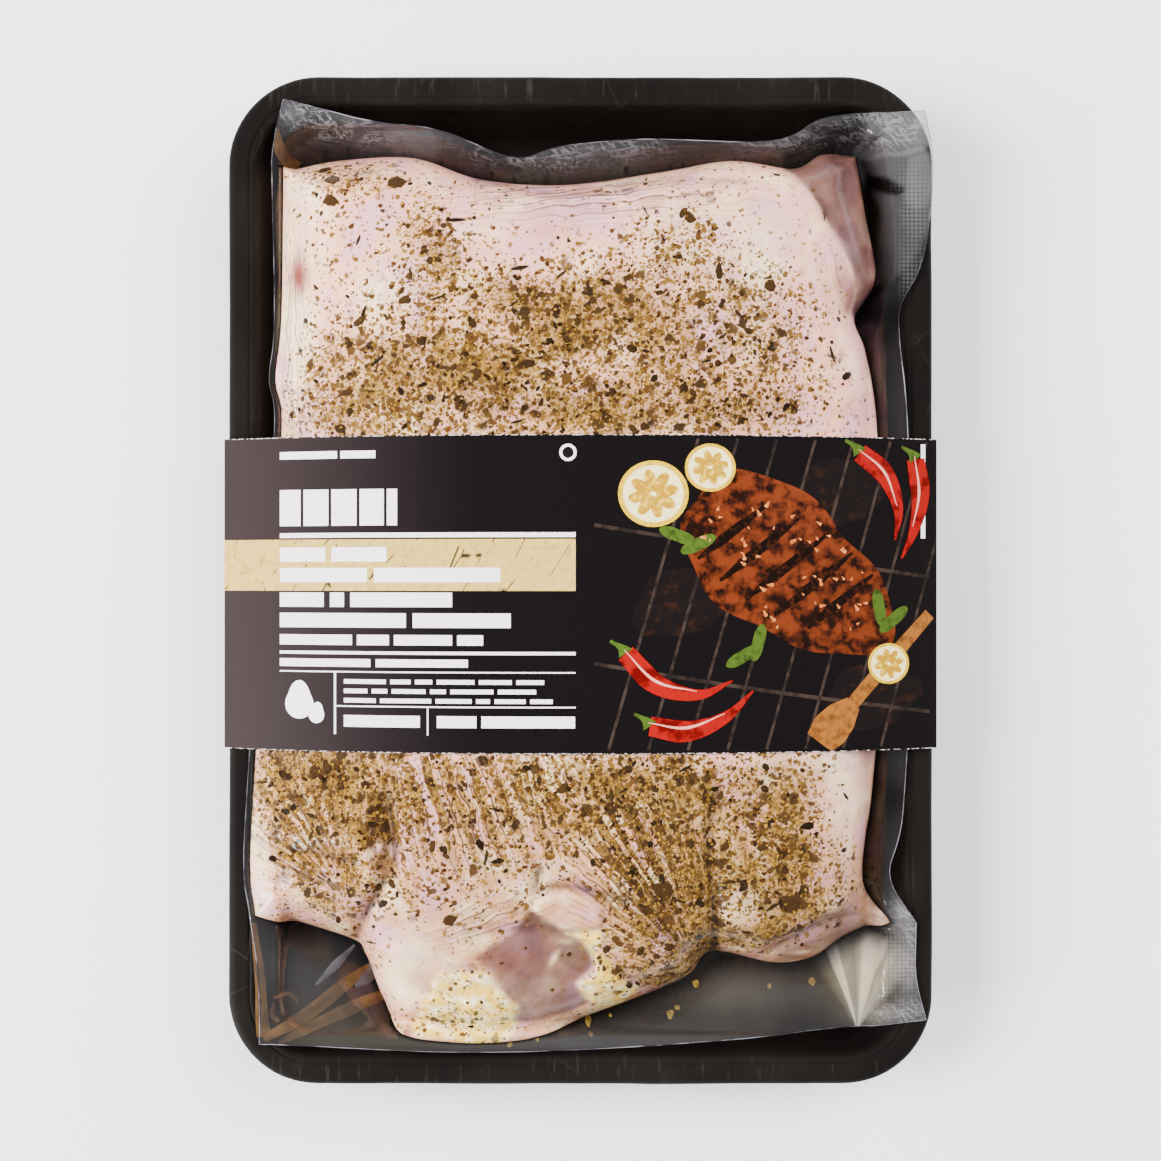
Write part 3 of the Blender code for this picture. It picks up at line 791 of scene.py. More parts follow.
@dataclass
class FoamTray:
    """The foam tray: one skin profile carried round a rounded rectangle."""

    length: float
    width: float
    base_z: float
    corner: float = 27.0
    corner_steps: int = 18
    side_step: float = 4.0
    waviness: float = 0.4
    outer: Points = ((17, 0), (15.2, 0.8), (10.3, 12), (5.5, 23.5), (0.9, 24.2), (0, 25.3), (0.3, 26.9))
    inner: Points = (
        (1.4, 27.7), (3, 28), (5.6, 28), (6.4, 27.6), (7.2, 27.8), (8.6, 27), (9.8, 24), (10.4, 21.6),
        (13, 15), (15.5, 9), (18.5, 5.5), (23, 3.5),
    )

    def floor_profile(self) -> tuple[list[float], list[float]]:
        """Give the upper skin's insets and heights, in the order that interpolation needs."""
        return [inset for inset, _ in self.inner], [self.base_z + height for _, height in self.inner]

    def inset(self, x: Array, y: Array) -> Array:
        """Give how far places lie inside the tray's outer edge: the distance to a rounded rectangle.

        Args:
            x: places across.
            y: places along.

        Returns:
            The insets in millimetres, negative outside.
        """
        over_x = np.abs(x) - (self.width / 2 - self.corner)
        over_y = np.abs(y) - (self.length / 2 - self.corner)
        outside = np.hypot(np.maximum(over_x, 0), np.maximum(over_y, 0))
        return self.corner - outside - np.minimum(np.maximum(over_x, over_y), 0)

    def height(self, x: Array, y: Array, standoff: float = 0.0) -> Array:
        """Give the upper skin's height in millimetres, with its walls moved inwards by a stand-off."""
        insets, heights = self.floor_profile()
        return np.interp(self.inset(x, y) - standoff, insets, heights)

    def outline(self) -> tuple[Array, Array]:
        """Give points round the tray's edge, and the outward way at each.

        Returns:
            The points of a rounded rectangle and their unit normals, counter-clockwise.
        """
        half_x = self.width / 2 - self.corner
        half_y = self.length / 2 - self.corner
        centres = ((half_x, half_y), (-half_x, half_y), (-half_x, -half_y), (half_x, -half_y))
        spots = []
        ways = []
        for quarter, centre in enumerate(centres):
            angle = math.pi / 2 * (quarter + np.linspace(0, 1, self.corner_steps + 1))
            way = np.column_stack((np.cos(angle), np.sin(angle)))
            arc = np.array(centre) + self.corner * way
            goal = np.array(centres[(quarter + 1) % 4]) + self.corner * way[-1]
            count = int(np.linalg.norm(goal - arc[-1]) / self.side_step)
            share = np.linspace(0, 1, count, endpoint=False)[1:, None]
            spots += [arc, arc[-1] + share * (goal - arc[-1])]
            ways += [way, np.repeat(way[-1:], len(share), axis=0)]
        return np.vstack(spots), np.vstack(ways)

    def build(self, finish: FoamFinish) -> bpy.types.Object:
        """Make the tray: for each profile point, the outline moved inwards, with a slightly uneven rim.

        Args:
            finish: the foam's finish.

        Returns:
            The tray's piece.
        """
        edge, way = self.outline()
        profile = smooth_run(self.outer + self.inner, 4)
        profile[:, 1] = np.clip(profile[:, 1], 0, 28.0)
        count = len(edge)
        uneven = self.waviness * (0.5 + 0.5 * cloud(edge[:, 0], edge[:, 1], 26.0, SEED + 3))
        rim = np.clip((profile[:, 1] - 18) / 8, 0, 1)[:, None]
        inset = profile[:, :1] + rim * uneven[None, :]
        ring = edge[None] - inset[..., None] * way[None]
        level = np.broadcast_to(self.base_z + profile[:, 1:], (len(profile), count))
        points = np.dstack((ring, level)).reshape(-1, 3)
        faces = grid_faces(len(profile), count, closed=True)[:, ::-1]
        centres = np.array(((0, 0, self.base_z), (0, 0, profile[-1, 1] + self.base_z)))
        step = np.arange(count)
        after = (step + 1) % count
        last = (len(profile) - 1) * count
        under = np.column_stack((after, step, np.full(count, len(points))))
        floor = np.column_stack((last + step, last + after, np.full(count, len(points) + 1)))
        whole = np.vstack((points, centres))
        piece = make_piece("foam_tray", whole, [faces, under, floor], [finish.material(self.length / 2)])
        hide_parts("tray")
        return dress(piece)


@dataclass
class CardSleeve:
    """The card band round the tray and the pouch, with its print laid on the arched top."""

    low_y: float
    high_y: float
    half: float
    crown_z: float
    card: float = 0.5
    base_half: float = 91.0
    lip_z: float = 26.0
    fold_z: float = 29.0
    power: float = 2.4
    arch_steps: int = 150

    def arch(self, x: Array) -> Array:
        """Give the outer face's height over the pouch: flat at the crown, steeper towards the folds."""
        share = np.clip(np.abs(x) / self.half, 0, 1)
        return self.fold_z + (self.crown_z - self.fold_z) * (1 - share ** self.power)

    def section(self) -> tuple[Array, Array]:
        """Give the outer and inner loops of the band's section in X and Z.

        Returns:
            Two loops with mitred corners, one card thickness apart.
        """
        across = np.linspace(1, -1, self.arch_steps + 1) * self.half
        arch = np.column_stack((across, self.arch(across)))
        side = np.array(((-self.half, self.lip_z), (-self.half + 0.5, self.lip_z - 1.2),
                         (-self.base_half - 0.4, 0.6), (-self.base_half + 0.4, 0.0)))
        outer = np.vstack((arch, side, side[::-1] * (-1, 1)))
        before = outer - np.roll(outer, 1, axis=0)
        after = np.roll(outer, -1, axis=0) - outer
        normals = [np.column_stack((-edge[:, 1], edge[:, 0])) / np.linalg.norm(edge, axis=1, keepdims=True)
                   for edge in (before, after)]
        both = normals[0] + normals[1]
        return outer, outer + 2 * self.card * both / (both ** 2).sum(axis=1, keepdims=True)

    def build(self, finish: CardFinish) -> bpy.types.Object:
        """Make the band: its section carried along Y, with printed outer faces and plain board inside.

        Args:
            finish: the printed card's finish.

        Returns:
            The band's piece.
        """
        outer, inner = self.section()
        count = len(outer)
        rows = np.array((self.low_y, self.low_y + 0.4, self.high_y - 0.4, self.high_y))
        loops = [(outer, rows), (inner, rows[::-1])]
        points = np.vstack([np.column_stack((loop[:, 0], np.full(count, y), loop[:, 1]))
                            for loop, ys in loops for y in ys])
        faces = grid_faces(2 * len(rows) + 1, count, closed=True) % (2 * len(rows) * count)
        slots = np.repeat((0, 0, 0, 1, 1, 1, 1, 1), count)
        board = InkFinish("grey_board", "#a39c94", "#7d766e").material()
        made = make_piece("card_sleeve", points, [faces], [finish.material(self.low_y, self.high_y), board],
                          slots=slots)
        made.data.set_sharp_from_angle(angle=math.radians(30))
        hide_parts("sleeve")
        return dress(made)


class Layer(Enum):
    """The print's layers: the piece's name, its lift over the card in mm, and its ink.

    After its two tones an ink has its mottle's size in mm and amount, its low and high ends and a roughness.
    """

    GOLD = ("print_gold_band", 0.07, InkFinish("gold_ink", "#c5a558", "#2a2016", 2.2, 0.34, 0.46, 0.75, 0.4,
                                               scratched=True))
    WHITE = ("print_white_lines", 0.10, InkFinish("white_ink", "#f6eef2", "#b5a8ae", 0.6, 0.3))
    RING = ("print_ring_middle", 0.12, InkFinish("black_ink", "#110c0d", "#1c1618", 0.8))
    EMBERS = ("picture_embers", 0.03, InkFinish("ember_ink", "#100a0a", "#2a150b", 3.0, 0.7, 0.52, 0.7))
    GRILL = ("picture_grill", 0.06, InkFinish("wire_ink", "#332822", "#120d0d", 4.0, 0.85, 0.38, 0.62))
    SPATULA = ("picture_spatula", 0.08, InkFinish("wood_ink", "#8a5420", "#43220a", 2.6, 0.8, 0.4, 0.7))
    FILLET = ("picture_fillet", 0.10, InkFinish("roast_ink", "#63280e", "#150603", 4.2, 1.0, 0.38, 0.62,
                                                0.35))
    SCORCH = ("picture_scorch", 0.12, InkFinish("scorch_ink", "#0d0402", "#3c1806", 1.6, 0.8, 0.5, 0.66))
    LEMON = ("picture_lemon_rind", 0.13, InkFinish("lemon_ink", "#d0a80e", "#8a6206", 2.0, 0.6))
    PITH = ("picture_lemon_pith", 0.14, InkFinish("pith_ink", "#efe0a4", "#cdb45c", 1.4, 0.5))
    PULP = ("picture_lemon_pulp", 0.15, InkFinish("pulp_ink", "#a87a06", "#e6c850", 1.6, 0.8))
    CHILLI = ("picture_chillies", 0.16, InkFinish("chilli_ink", "#8a0907", "#3a0202", 5.0, 0.8, 0.45, 0.62,
                                                  0.3))
    LEAF = ("picture_leaves", 0.18, InkFinish("leaf_ink", "#3d5218", "#141d06", 2.2, 0.7))
    GLAZE = ("picture_glaze", 0.20, InkFinish("glaze_ink", "#b0602a", "#e0a064", 1.0, 0.7))
    SHINE = ("picture_shine", 0.21, InkFinish("shine_ink", "#d88a7c", "#a8483c", 1.0))


@dataclass
class SleevePrint:
    """The band's print: a text side of plain bars, rules and a gold band, and a picture side."""

    sleeve: CardSleeve
    left: float = -88.6
    right: float = -1.4
    cell: float = 2.0
    fillet: tuple[float, float] = (60.0, 4.0)
    fillet_turn: float = -32.0

    def field(self, x_low: float, x_high: float, y_low: float, y_high: float) -> Shape:
        """Give a rectangle of ink, fine enough across to follow the arch, from its four edges."""
        columns = max(2, int((x_high - x_low) / self.cell) + 1)
        x = np.linspace(x_low, x_high, columns)
        spots = np.stack(np.meshgrid(x, (y_low, y_high), indexing="ij"), axis=-1)
        return spots.reshape(-1, 2), grid_faces(columns, 2)

    def blob(self, centre: tuple[float, float], radius: Array, turn: float, stretch: float) -> Shape:
        """Give a round patch of ink: rings of a closed polar outline.

        Args:
            centre: its middle.
            radius: the outline's radius at even angles.
            turn: its turn in degrees.
            stretch: how much shorter it is across than along.

        Returns:
            Its points and faces.
        """
        count = len(radius)
        angle = np.linspace(0, 2 * math.pi, count, endpoint=False)
        share = np.linspace(0.001, 1, max(4, int(radius.max() / self.cell)))[:, None]
        spots = turned(share * radius * np.cos(angle), share * radius * np.sin(angle) * stretch, turn)
        return (centre + spots).reshape(-1, 2), grid_faces(len(share), count, closed=True)

    def lay(self, layer: Layer, shapes: list[Shape]) -> None:
        """Lay shapes of one ink on the arch as a piece, kept just inside the card's edges.

        Args:
            layer: the ink, with its lift and its piece's name.
            shapes: flat points and faces of each shape.
        """
        name, lift, ink = layer.value
        spots, faces = joined(shapes)
        x = np.clip(spots[:, 0], -self.sleeve.half, self.sleeve.half - 0.2)
        y = np.clip(spots[:, 1], self.sleeve.low_y + 0.4, self.sleeve.high_y - 0.4)
        points = np.column_stack((x, y, self.sleeve.arch(x) + lift))
        dress(make_piece(name, points, [faces], [ink.material()]))

    def words(self, start: float, middle_y: float, height: float, widths: tuple[float, ...],
              space: float = 1.6) -> list[Shape]:
        """Give a line of plain bars in the place of words.

        Args:
            start: the left end.
            middle_y: the line's middle.
            height: the bars' height.
            widths: the bars' widths.
            space: the gap between bars.

        Returns:
            One shape for each bar.
        """
        bars = []
        for width in widths:
            bars.append(self.field(start, start + width, middle_y - height / 2, middle_y + height / 2))
            start += width + space
        return bars

    def flame(self, centre: tuple[float, float], size: float) -> list[Shape]:
        """Give a plain flame sign: a drop whose tip leans, with a smaller one beside it.

        Args:
            centre: the drop's middle.
            size: its half height.

        Returns:
            Its shapes.
        """
        angle = np.linspace(0, 2 * math.pi, 40, endpoint=False)
        drop = size * (0.62 + 0.38 * np.maximum(np.cos(angle - math.pi / 2), 0) ** 6)
        beside = (centre[0] + size * 0.75, centre[1] - size * 0.45)
        return [self.blob(centre, drop, 0, 1.0), self.blob(beside, 0.55 * drop, -8, 1.0)]

    def text_side(self) -> None:
        """Lay the gold band, the white rules, and bars where the words were."""
        left, right = self.left, self.right
        self.lay(Layer.GOLD, [self.field(-self.sleeve.half, right, -3.0, 12.0)])
        marks = [self.field(*edges) for edges in (
            (left, right, 12.5, 13.9), (left, right, -21.5, -20.6), (left, right, -26.8, -26.4),
            (-71.3, right, -36.8, -36.4), (-72.0, -71.4, -44.8, -26.8), (-44.4, -44.0, -44.8, -37.0),
            (101.2, 102.6, 28.0, 40.5), (101.2, 102.6, 12.5, 26.4))]
        for start, middle_y, height, widths, space in (
                (left, 21.3, 10.6, (6.4, 7.6, 7.6, 7.2, 3.0), 0.9), (left, 36.7, 2.2, (17.5, 10.5), 1.0),
                (left, 7.6, 4.2, (14.0, 16.5), 1.8), (left, 1.6, 4.2, (26.5, 37.0), 2.0),
                (left, -5.6, 4.2, (13.5, 4.2, 30.0), 1.9), (left, -11.6, 4.2, (38.0, 28.5), 2.0),
                (left, -17.3, 3.0, (22.0, 9.5, 17.0, 7.5), 1.5), (left, -24.0, 2.3, (27.5, 27.0), 1.6),
                (-69.0, -29.4, 1.3, (12.5, 6.0, 5.0, 11.0, 9.5, 8.0), 1.3),
                (-69.0, -32.15, 1.3, (7.0, 4.6, 10.0, 4.6, 12.5, 11.0), 1.3),
                (-69.0, -34.9, 1.3, (9.5, 15.0, 10.5, 4.0, 9.0, 6.5), 1.3),
                (-69.0, -40.9, 3.4, (22.5,), 1.0), (-41.5, -40.9, 3.4, (11.5, 27.0), 1.4)):
            marks += self.words(start, middle_y, height, widths, space)
        ring = np.full(28, 2.5)
        middle = (-3.6, 36.9)
        self.lay(Layer.WHITE, marks + [self.blob(middle, ring, 0, 1.0)] + self.flame((-82.6, -36.2), 7.0))
        self.lay(Layer.RING, [self.blob(middle, ring * 0.66, 0, 1.0)])

    def roast(self, angle: Array) -> None:
        """Lay the fillet, its scorched stripes and the glaze's small lights."""
        waves = 0.10 * np.cos(2 * angle + 0.5) + 0.07 * np.cos(3 * angle) + 0.035 * np.cos(7 * angle + 1)
        self.lay(Layer.FILLET, [self.blob(self.fillet, 33 * (1 + waves), self.fillet_turn, 0.66)])
        scorch = []
        for offset in (-19.0, -9.5, 0.0, 9.5, 19.0):
            reach = 15.5 * math.sqrt(max(0.1, 1 - (offset / 33) ** 2))
            middle = self.fillet + turned(offset, 0.0, self.fillet_turn)
            ends = middle + turned(reach * np.array((-1, 0, 1)), np.zeros(3), self.fillet_turn + 70)
            scorch.append(ribbon(ends, (0.8, 3.0, 2.6, 0.8)))
        self.lay(Layer.SCORCH, scorch)
        draw = np.random.default_rng(SEED + 5)
        glaze = []
        for _ in range(70):
            u, v = draw.uniform(-28, 28), draw.uniform(-17, 17)
            if (u / 29) ** 2 + (v / 18) ** 2 > 0.9:
                continue
            spot = self.fillet + turned(u, v, self.fillet_turn)
            drop = draw.uniform(0.4, 1.1) * (1 + 0.3 * np.cos(3 * angle[::9]))
            glaze.append(self.blob(spot, drop, draw.uniform(0, 180), 0.5))
        self.lay(Layer.GLAZE, glaze)

    def lemons(self, angle: Array) -> None:
        """Lay the lemon wheels: rind, pith and eight wedges of pulp each."""
        wheels = (((21.0, 25.0), 10.2), ((37.5, 32.6), 7.4), ((91.0, -24.5), 6.4))
        for layer, share in ((Layer.LEMON, 1.0), (Layer.PITH, 0.86)):
            rounds = [self.blob(centre, np.full(44, share * size), 0, 0.94) for centre, size in wheels]
            self.lay(layer, rounds)
        petal = 0.32 * (1 - 0.3 * np.cos(angle[::4]))
        pulp = [self.blob(centre + turned(0.5 * size, 0.0, turn) * (1, 0.94), size * petal, turn, 0.5)
                for centre, size in wheels for turn in range(12, 360, 45)]
        self.lay(Layer.PULP, pulp)

    def picture_side(self) -> None:
        """Lay a generic grill picture: a charred fillet, lemon wheels, chillies, leaves and a spatula."""
        angle = np.linspace(0, 2 * math.pi, 90, endpoint=False)
        glow = 15 * (1 + 0.18 * cloud(angle * 6, angle * 0, 3.0, 7))
        embers = [self.blob(centre, glow, 15, 0.62) for centre in ((76, 26), (30, -6), (86, -34))]
        self.lay(Layer.EMBERS, embers)
        grill = [ribbon(((8.0 + 11.5 * bar, -49.0), (34.0 + 11.5 * bar, 41.0)), (0.9,)) for bar in range(8)]
        grill += [ribbon(((4, 16 - drop), (54, 8 - drop), (104, 1 - drop)), (1.1,)) for drop in (0, 40)]
        self.lay(Layer.GRILL, grill)
        handle = ribbon(((104, -10), (88, -27), (79, -37)), (3.6, 4.4, 4))
        self.lay(Layer.SPATULA, [handle, ribbon(((80, -36), (73, -43.5), (69.5, -47.5)), (5, 10, 11.5, 9))])
        self.roast(angle)
        self.lemons(angle)
        chillies = (((13, -21), (22, -30), (34, -33), (44, -29)),
                    ((20, -42), (31, -43.5), (42, -39.5), (50, -32)),
                    ((82, 37.5), (90, 31), (94, 21), (93, 12)),
                    ((99.5, 36), (101, 25), (99, 15), (95, 6.5)))
        self.lay(Layer.CHILLI, [ribbon(path, (5.6, 6.4, 4.8, 2.6, 0.5)) for path in chillies])
        stems = [ribbon(((x - 4.5, y + 3.6), (x - 1.4, y + 1.8), (x, y)), (0.9, 1.4, 4.6))
                 for (x, y), *_ in chillies]
        blade = 5.6 * (0.72 + 0.28 * np.abs(np.cos(angle[::3])))
        leaves = [self.blob((x, y), blade, turn, 0.42) for x, y, turn in (
            (47, -22, 30), (51.5, -18, 75), (28, 13, -20), (34, 10.5, 25), (88, -8, 100), (92.5, -11.5, 40))]
        self.lay(Layer.LEAF, stems + leaves)
        self.lay(Layer.SHINE, [ribbon(tuple((x - 0.4, y + 1.0) for x, y in path[:3]), (0.2, 0.9, 0.2))
                               for path in chillies])


@dataclass(frozen=True)
class Patch:
    """A soft oval on the chicken."""

    x: float
    y: float
    along: float
    across: float
    turn: float = 0.0
    strength: float = 1.0

    def share(self, x: Array, y: Array) -> Array:
        """Give the patch's strength at each place: a bell over a turned oval."""
        spots = turned(x - self.x, y - self.y, -self.turn) / (self.along, self.across)
        return self.strength * np.exp(-(spots ** 2).sum(axis=-1))


@dataclass(frozen=True)
class Wrinkles:
    """Fine grooves in the skin that spread like a fan from one point and show inside a soft oval."""

    oval: Patch
    apex: tuple[float, float]
    step: float
    depth: float
    wander: float = 0.35

    def phase(self, x: Array, y: Array) -> Array:
        """Count grooves round the apex, whole at their bottoms: the angle over the step, with a wander."""
        angle = np.degrees(np.arctan2(y - self.apex[1], x - self.apex[0])) % 360
        return angle / self.step + self.wander * cloud(x, y, 11.0, SEED + 31)

    def groove(self, x: Array, y: Array) -> Array:
        """Give how deep in a groove each place lies: narrow folds of the phase's sine, within the oval."""
        return (1 - np.abs(np.sin(math.pi * self.phase(x, y)))) ** 2 * self.oval.share(x, y)


def total(patches: tuple[Patch, ...], x: Array, y: Array) -> Array:
    """Join patches as overlapping layers: one minus the product of what each leaves bare.

    Args:
        patches: the patches.
        x: places across.
        y: places along.

    Returns:
        The joined share from 0 to 1.
    """
    bare = np.ones(np.shape(x))
    for patch in patches:
        bare = bare * (1 - np.clip(patch.share(x, y), 0, 1))
    return 1 - bare


@dataclass
class PouchForm:
    """The sealed pouch's outlines and heights, shared by the chicken, the spice, the film and the brine."""

    tray: FoamTray
    sleeve: CardSleeve
    seam_z: float = 18.0
    edge_rise: float = 9.0
    flange: float = 0.8
    standoff: float = 7.0
    clearance: float = 0.9
    shoulder: float = 15.0
    belly_radius: float = 16.0
    card_clearance: float = 0.6
    bulge: float = 2.4
    bulge_start: float = 6.0
    bulge_reach: float = 9.0
    bird_left: Points = (
        (-97, -100), (-98.5, -80), (-94.5, -18), (-89.5, 44), (-91, 60), (-89.5, 78), (-89, 124),
    )
    bird_right: Points = (
        (92.5, -102), (85.5, -90), (88, -62), (90, -18), (89, 44), (86.5, 68), (83, 79), (88.5, 90),
        (86.5, 110), (83.5, 128.5),
    )
    bird_bottom: Points = (
        (-97, -100), (-70, -108), (-65, -113), (-60, -126), (-53, -135.5), (-28, -138), (-5, -134),
        (30, -120.5), (39.5, -112), (58, -115.5), (70, -114), (80, -107.5), (92.5, -102),
    )
    bird_top: Points = (
        (-89, 124), (-72, 127), (-50, 127.5), (-30, 121), (-5, 119), (24, 123), (45, 126.5), (64, 124.5),
        (73, 129), (83.5, 128.5),
    )
    film_left: tuple[Points, ...] = (
        ((-98.5, -100), (-100.2, -80), (-96.2, -18), (-91.2, 44), (-92.7, 60), (-91.2, 78), (-92, 125)),
    )
    film_right: tuple[Points, ...] = (
        ((100, -102), (92.2, -88), (96, -69), (98.5, -18), (97.5, 44), (95, 72), (95.5, 82), (101, 93),
         (104, 108), (105, 126), (102.5, 140)),
    )
    film_bottom: tuple[Points, ...] = (
        ((-98.5, -100), (-96, -118), (-95.5, -138)),
        ((-95.5, -138), (-28, -140.5), (42, -137), (103, -131)), ((103, -131), (100, -118), (100, -102)),
    )
    film_top: tuple[Points, ...] = (
        ((-92, 125), (-90.5, 135), (-88.5, 143.5)),
        ((-88.5, 143.5), (-64, 137), (-42, 134.5), (-20, 126.5), (-5, 130), (20, 132), (57, 131.5),
         (74, 138), (102.5, 140)),
    )
    creases: tuple[tuple[Points, float, float], ...] = (
        (((40, -60), (37, -78), (38.5, -94), (39.5, -114)), 3.4, 2.4),
        (((-56.5, -64), (-54, -76), (-55, -83), (-60, -92), (-67, -106)), 3.6, 2.4),
        (((-99, -76), (-84, -79), (-66, -82)), 2.6, 2.6),
        (((-12, -84), (-12.5, -90), (-7, -88.4), (0, -89), (6, -91), (14, -93)), 2.8, 1.6),
        (((-14.4, -96.6), (-9.5, -99.8), (-4, -102.2), (3, -102)), 2.0, 1.4),
        (((-31, -103), (-12, -101), (-2, -104.5), (6, -110), (20, -121)), 1.6, 2.2),
        (((62, 123), (70, 112), (76, 101), (82, 90), (79, 80)), 2.6, 2.4),
        (((-31, 120), (-8, 113), (22, 117), (48, 116)), 1.6, 2.6),
        (((14, -93), (24, -100), (30, -108)), 2.2, 2.0),
        (((55, -110), (66, -103), (80, -99), (90, -101)), 2.4, 2.2),
    )
    wrinkles: tuple[Wrinkles, ...] = (
        Wrinkles(Patch(-30, -66, 34, 20, 0), (-138, 214), 0.78, 1.2),
        Wrinkles(Patch(-81, -72, 17, 16, 0), (-66, -93), 6.5, 1.2),
        Wrinkles(Patch(14, -82, 20, 24, 20), (37, -116), 4.4, 1.1),
        Wrinkles(Patch(2, 112, 38, 8, 0), (-170, 92), 1.0, 0.5),
        Wrinkles(Patch(-85, 78, 5, 36, 0, 0.7), (-92, 300), 0.7, 0.4),
        Wrinkles(Patch(56, -76, 15, 18, 0, 0.5), (38, -52), 8.0, 0.4),
        Wrinkles(Patch(-26, -98, 20, 7, 15, 0.8), (-150, -150), 1.3, 0.4),
        Wrinkles(Patch(80, 92, 10, 9, 0, 0.6), (62, 138), 6.0, 0.3),
    )
    muscle_low: Points = (
        (-30.4, -110.3), (-27.8, -108.2), (-21.9, -104.4), (-17.6, -100), (-14.6, -97.1), (-10.2, -98.6),
        (-5.3, -101.5), (2.3, -106.8), (4.1, -111.2), (0.6, -115.5), (-0.9, -119), (3.5, -123.4),
        (-1.5, -127.5), (-7.3, -129.6), (-14.6, -131), (-19.9, -130.2), (-19, -126.4), (-21.4, -121.4),
        (-25.7, -114.7),
    )
    muscle_top: Points = (
        (62, 123), (68.5, 113), (72, 106), (76, 101), (80, 93.5), (82.5, 86.5), (81, 79), (90, 78),
        (95, 95), (95, 118), (84, 133), (62, 132),
    )
    muscle_side: Points = (
        (53.5, -108.2), (57.3, -105.8), (64.7, -103.5), (72.3, -98.5), (75.3, -95.6), (82.9, -91.1),
        (87, -94), (92, -99), (92, -104), (82, -107), (72, -111.5), (60, -113),
    )
    pocket: Points = (
        (-6.5, -106), (-2, -104.8), (2, -107), (3.6, -111), (0.6, -114.6), (-3.2, -113), (-6.2, -110),
    )
    hollow: Points = (
        (-57.6, -64.6), (-55.3, -68.7), (-54.4, -75.7), (-55.3, -81.5), (-57.6, -84.4), (-61.1, -81.5),
        (-62.3, -73.9), (-61.1, -69.8),
    )
    flap: Points = (
        (-14, -95.6), (-11.1, -91), (-7.3, -89.5), (-1.5, -89.2), (3.5, -91.8), (5.9, -95.1), (5.9, -99.5),
        (2, -101.2), (-4.4, -101.5), (-10.2, -98.6),
    )
    fat_low: Points = (
        (-41.8, -115.5), (-34.5, -114.1), (-28.7, -113.8), (-25.7, -116.1), (-21.9, -121.4), (-19, -124.3),
        (-18.5, -131), (-21.9, -136), (-30, -139), (-40, -137), (-49, -134.5), (-47, -127),
    )
    fat_fringe: Points = (
        (-4.4, -102.4), (4.4, -101.5), (5.9, -108.2), (8.8, -111.2), (12.3, -117), (17.5, -120), (12, -127),
        (6, -127.4), (0, -120.5), (0, -117), (4.4, -114.1), (2.9, -108.8), (-0.9, -104.4),
    )
    sides: dict[str, Array] = field(init=False)
    film_sides: dict[str, Array] = field(init=False)
    outline: Array = field(init=False)
    film_outline: Array = field(init=False)

    def __post_init__(self) -> None:
        """Work out the smooth sides and the closed outlines."""
        names = ("bottom", "right", "top", "left")
        birds = (self.bird_bottom, self.bird_right, self.bird_top, self.bird_left)
        films = (self.film_bottom, self.film_right, self.film_top, self.film_left)
        self.sides = {name: smooth_run(run) for name, run in zip(names, birds)}
        self.film_sides = {name: np.vstack([smooth_run(run) for run in runs])
                           for name, runs in zip(names, films)}
        self.outline = self.ring(self.sides)
        self.film_outline = self.ring(self.film_sides)

    @staticmethod
    def ring(sides: dict[str, Array]) -> Array:
        """Join four sides counter-clockwise from the lower left corner into one closed line."""
        return np.vstack((sides["bottom"], sides["right"], sides["top"][::-1], sides["left"][::-1]))

    def seam(self, x: Array, y: Array) -> Array:
        """Give the flat seam's height: afloat in the tray, and lifted where it nears the wall or rim."""
        return np.maximum(self.seam_z, self.tray.height(x, y, self.standoff) + self.clearance)

    def flange_height(self, x: Array, y: Array) -> Array:
        """Give the loose film's height: it bows up from the chicken's side to the film's own edge.

        Args:
            x: places across.
            y: places along.

        Returns:
            The heights.
        """
        from_bird = distance_to(self.outline, x, y)
        from_edge = distance_to(self.film_outline, x, y)
        share = from_bird / np.maximum(from_bird + from_edge, 1e-6)
        bowed = self.seam_z + self.edge_rise * np.sin(share * math.pi / 2)
        return np.maximum(self.seam(x, y), bowed) + self.flange / 2

    @staticmethod
    def rounding(depth: Array, radius: float) -> Array:
        """Give a quarter circle's rise, from 0 at the edge to 1 at the radius and beyond."""
        return np.sqrt(1 - (1 - np.clip(depth / radius, 0, 1)) ** 2)

    def exposed(self, y: Array) -> Array:
        """Give how free of the card each place is, from 0 under it to 1 well beyond it."""
        beyond = np.maximum(np.maximum(y - self.sleeve.high_y, self.sleeve.low_y - y) - self.bulge_start, 0)
        return 1 - np.exp(-beyond / self.bulge_reach)

    def relief(self, x: Array, y: Array) -> Array:
        """Give the skin's fine relief: soft lumps, grooves, sunken muscle, a raised flap and lumpy fat.

        Args:
            x: places across.
            y: places along.

        Returns:
            The relief in millimetres.
        """
        lift = 0.6 * cloud(x, y, 10.0, SEED + 11) + 0.14 * cloud(x, y, 2.8, SEED + 17)
        for wrinkle in self.wrinkles:
            lift = lift - wrinkle.depth * wrinkle.groove(x, y)
        lumps = 0.5 + 0.9 * cloud(x, y, 4.5, SEED + 19)
        for area, rise, soft, ragged in (
                (self.muscle_low, -1.2, 2.6, 0.8), (self.muscle_top, -1.2, 3.0, 0.8),
                (self.muscle_side, -1.0, 3.0, 0.8), (self.pocket, -1.4, 2.0, 0.4),
                (self.flap, 1.6, 1.6, 0.5), (self.fat_low, lumps, 3.0, 1.6),
                (self.fat_fringe, lumps, 2.2, 1.6), (self.hollow, -2.6, 4.0, 0.6)):
            lift = lift + rise * area_share(area, x, y, soft, ragged)
        return lift + 1.4 * Patch(-66, -73.3, 4, 8, 10).share(x, y)

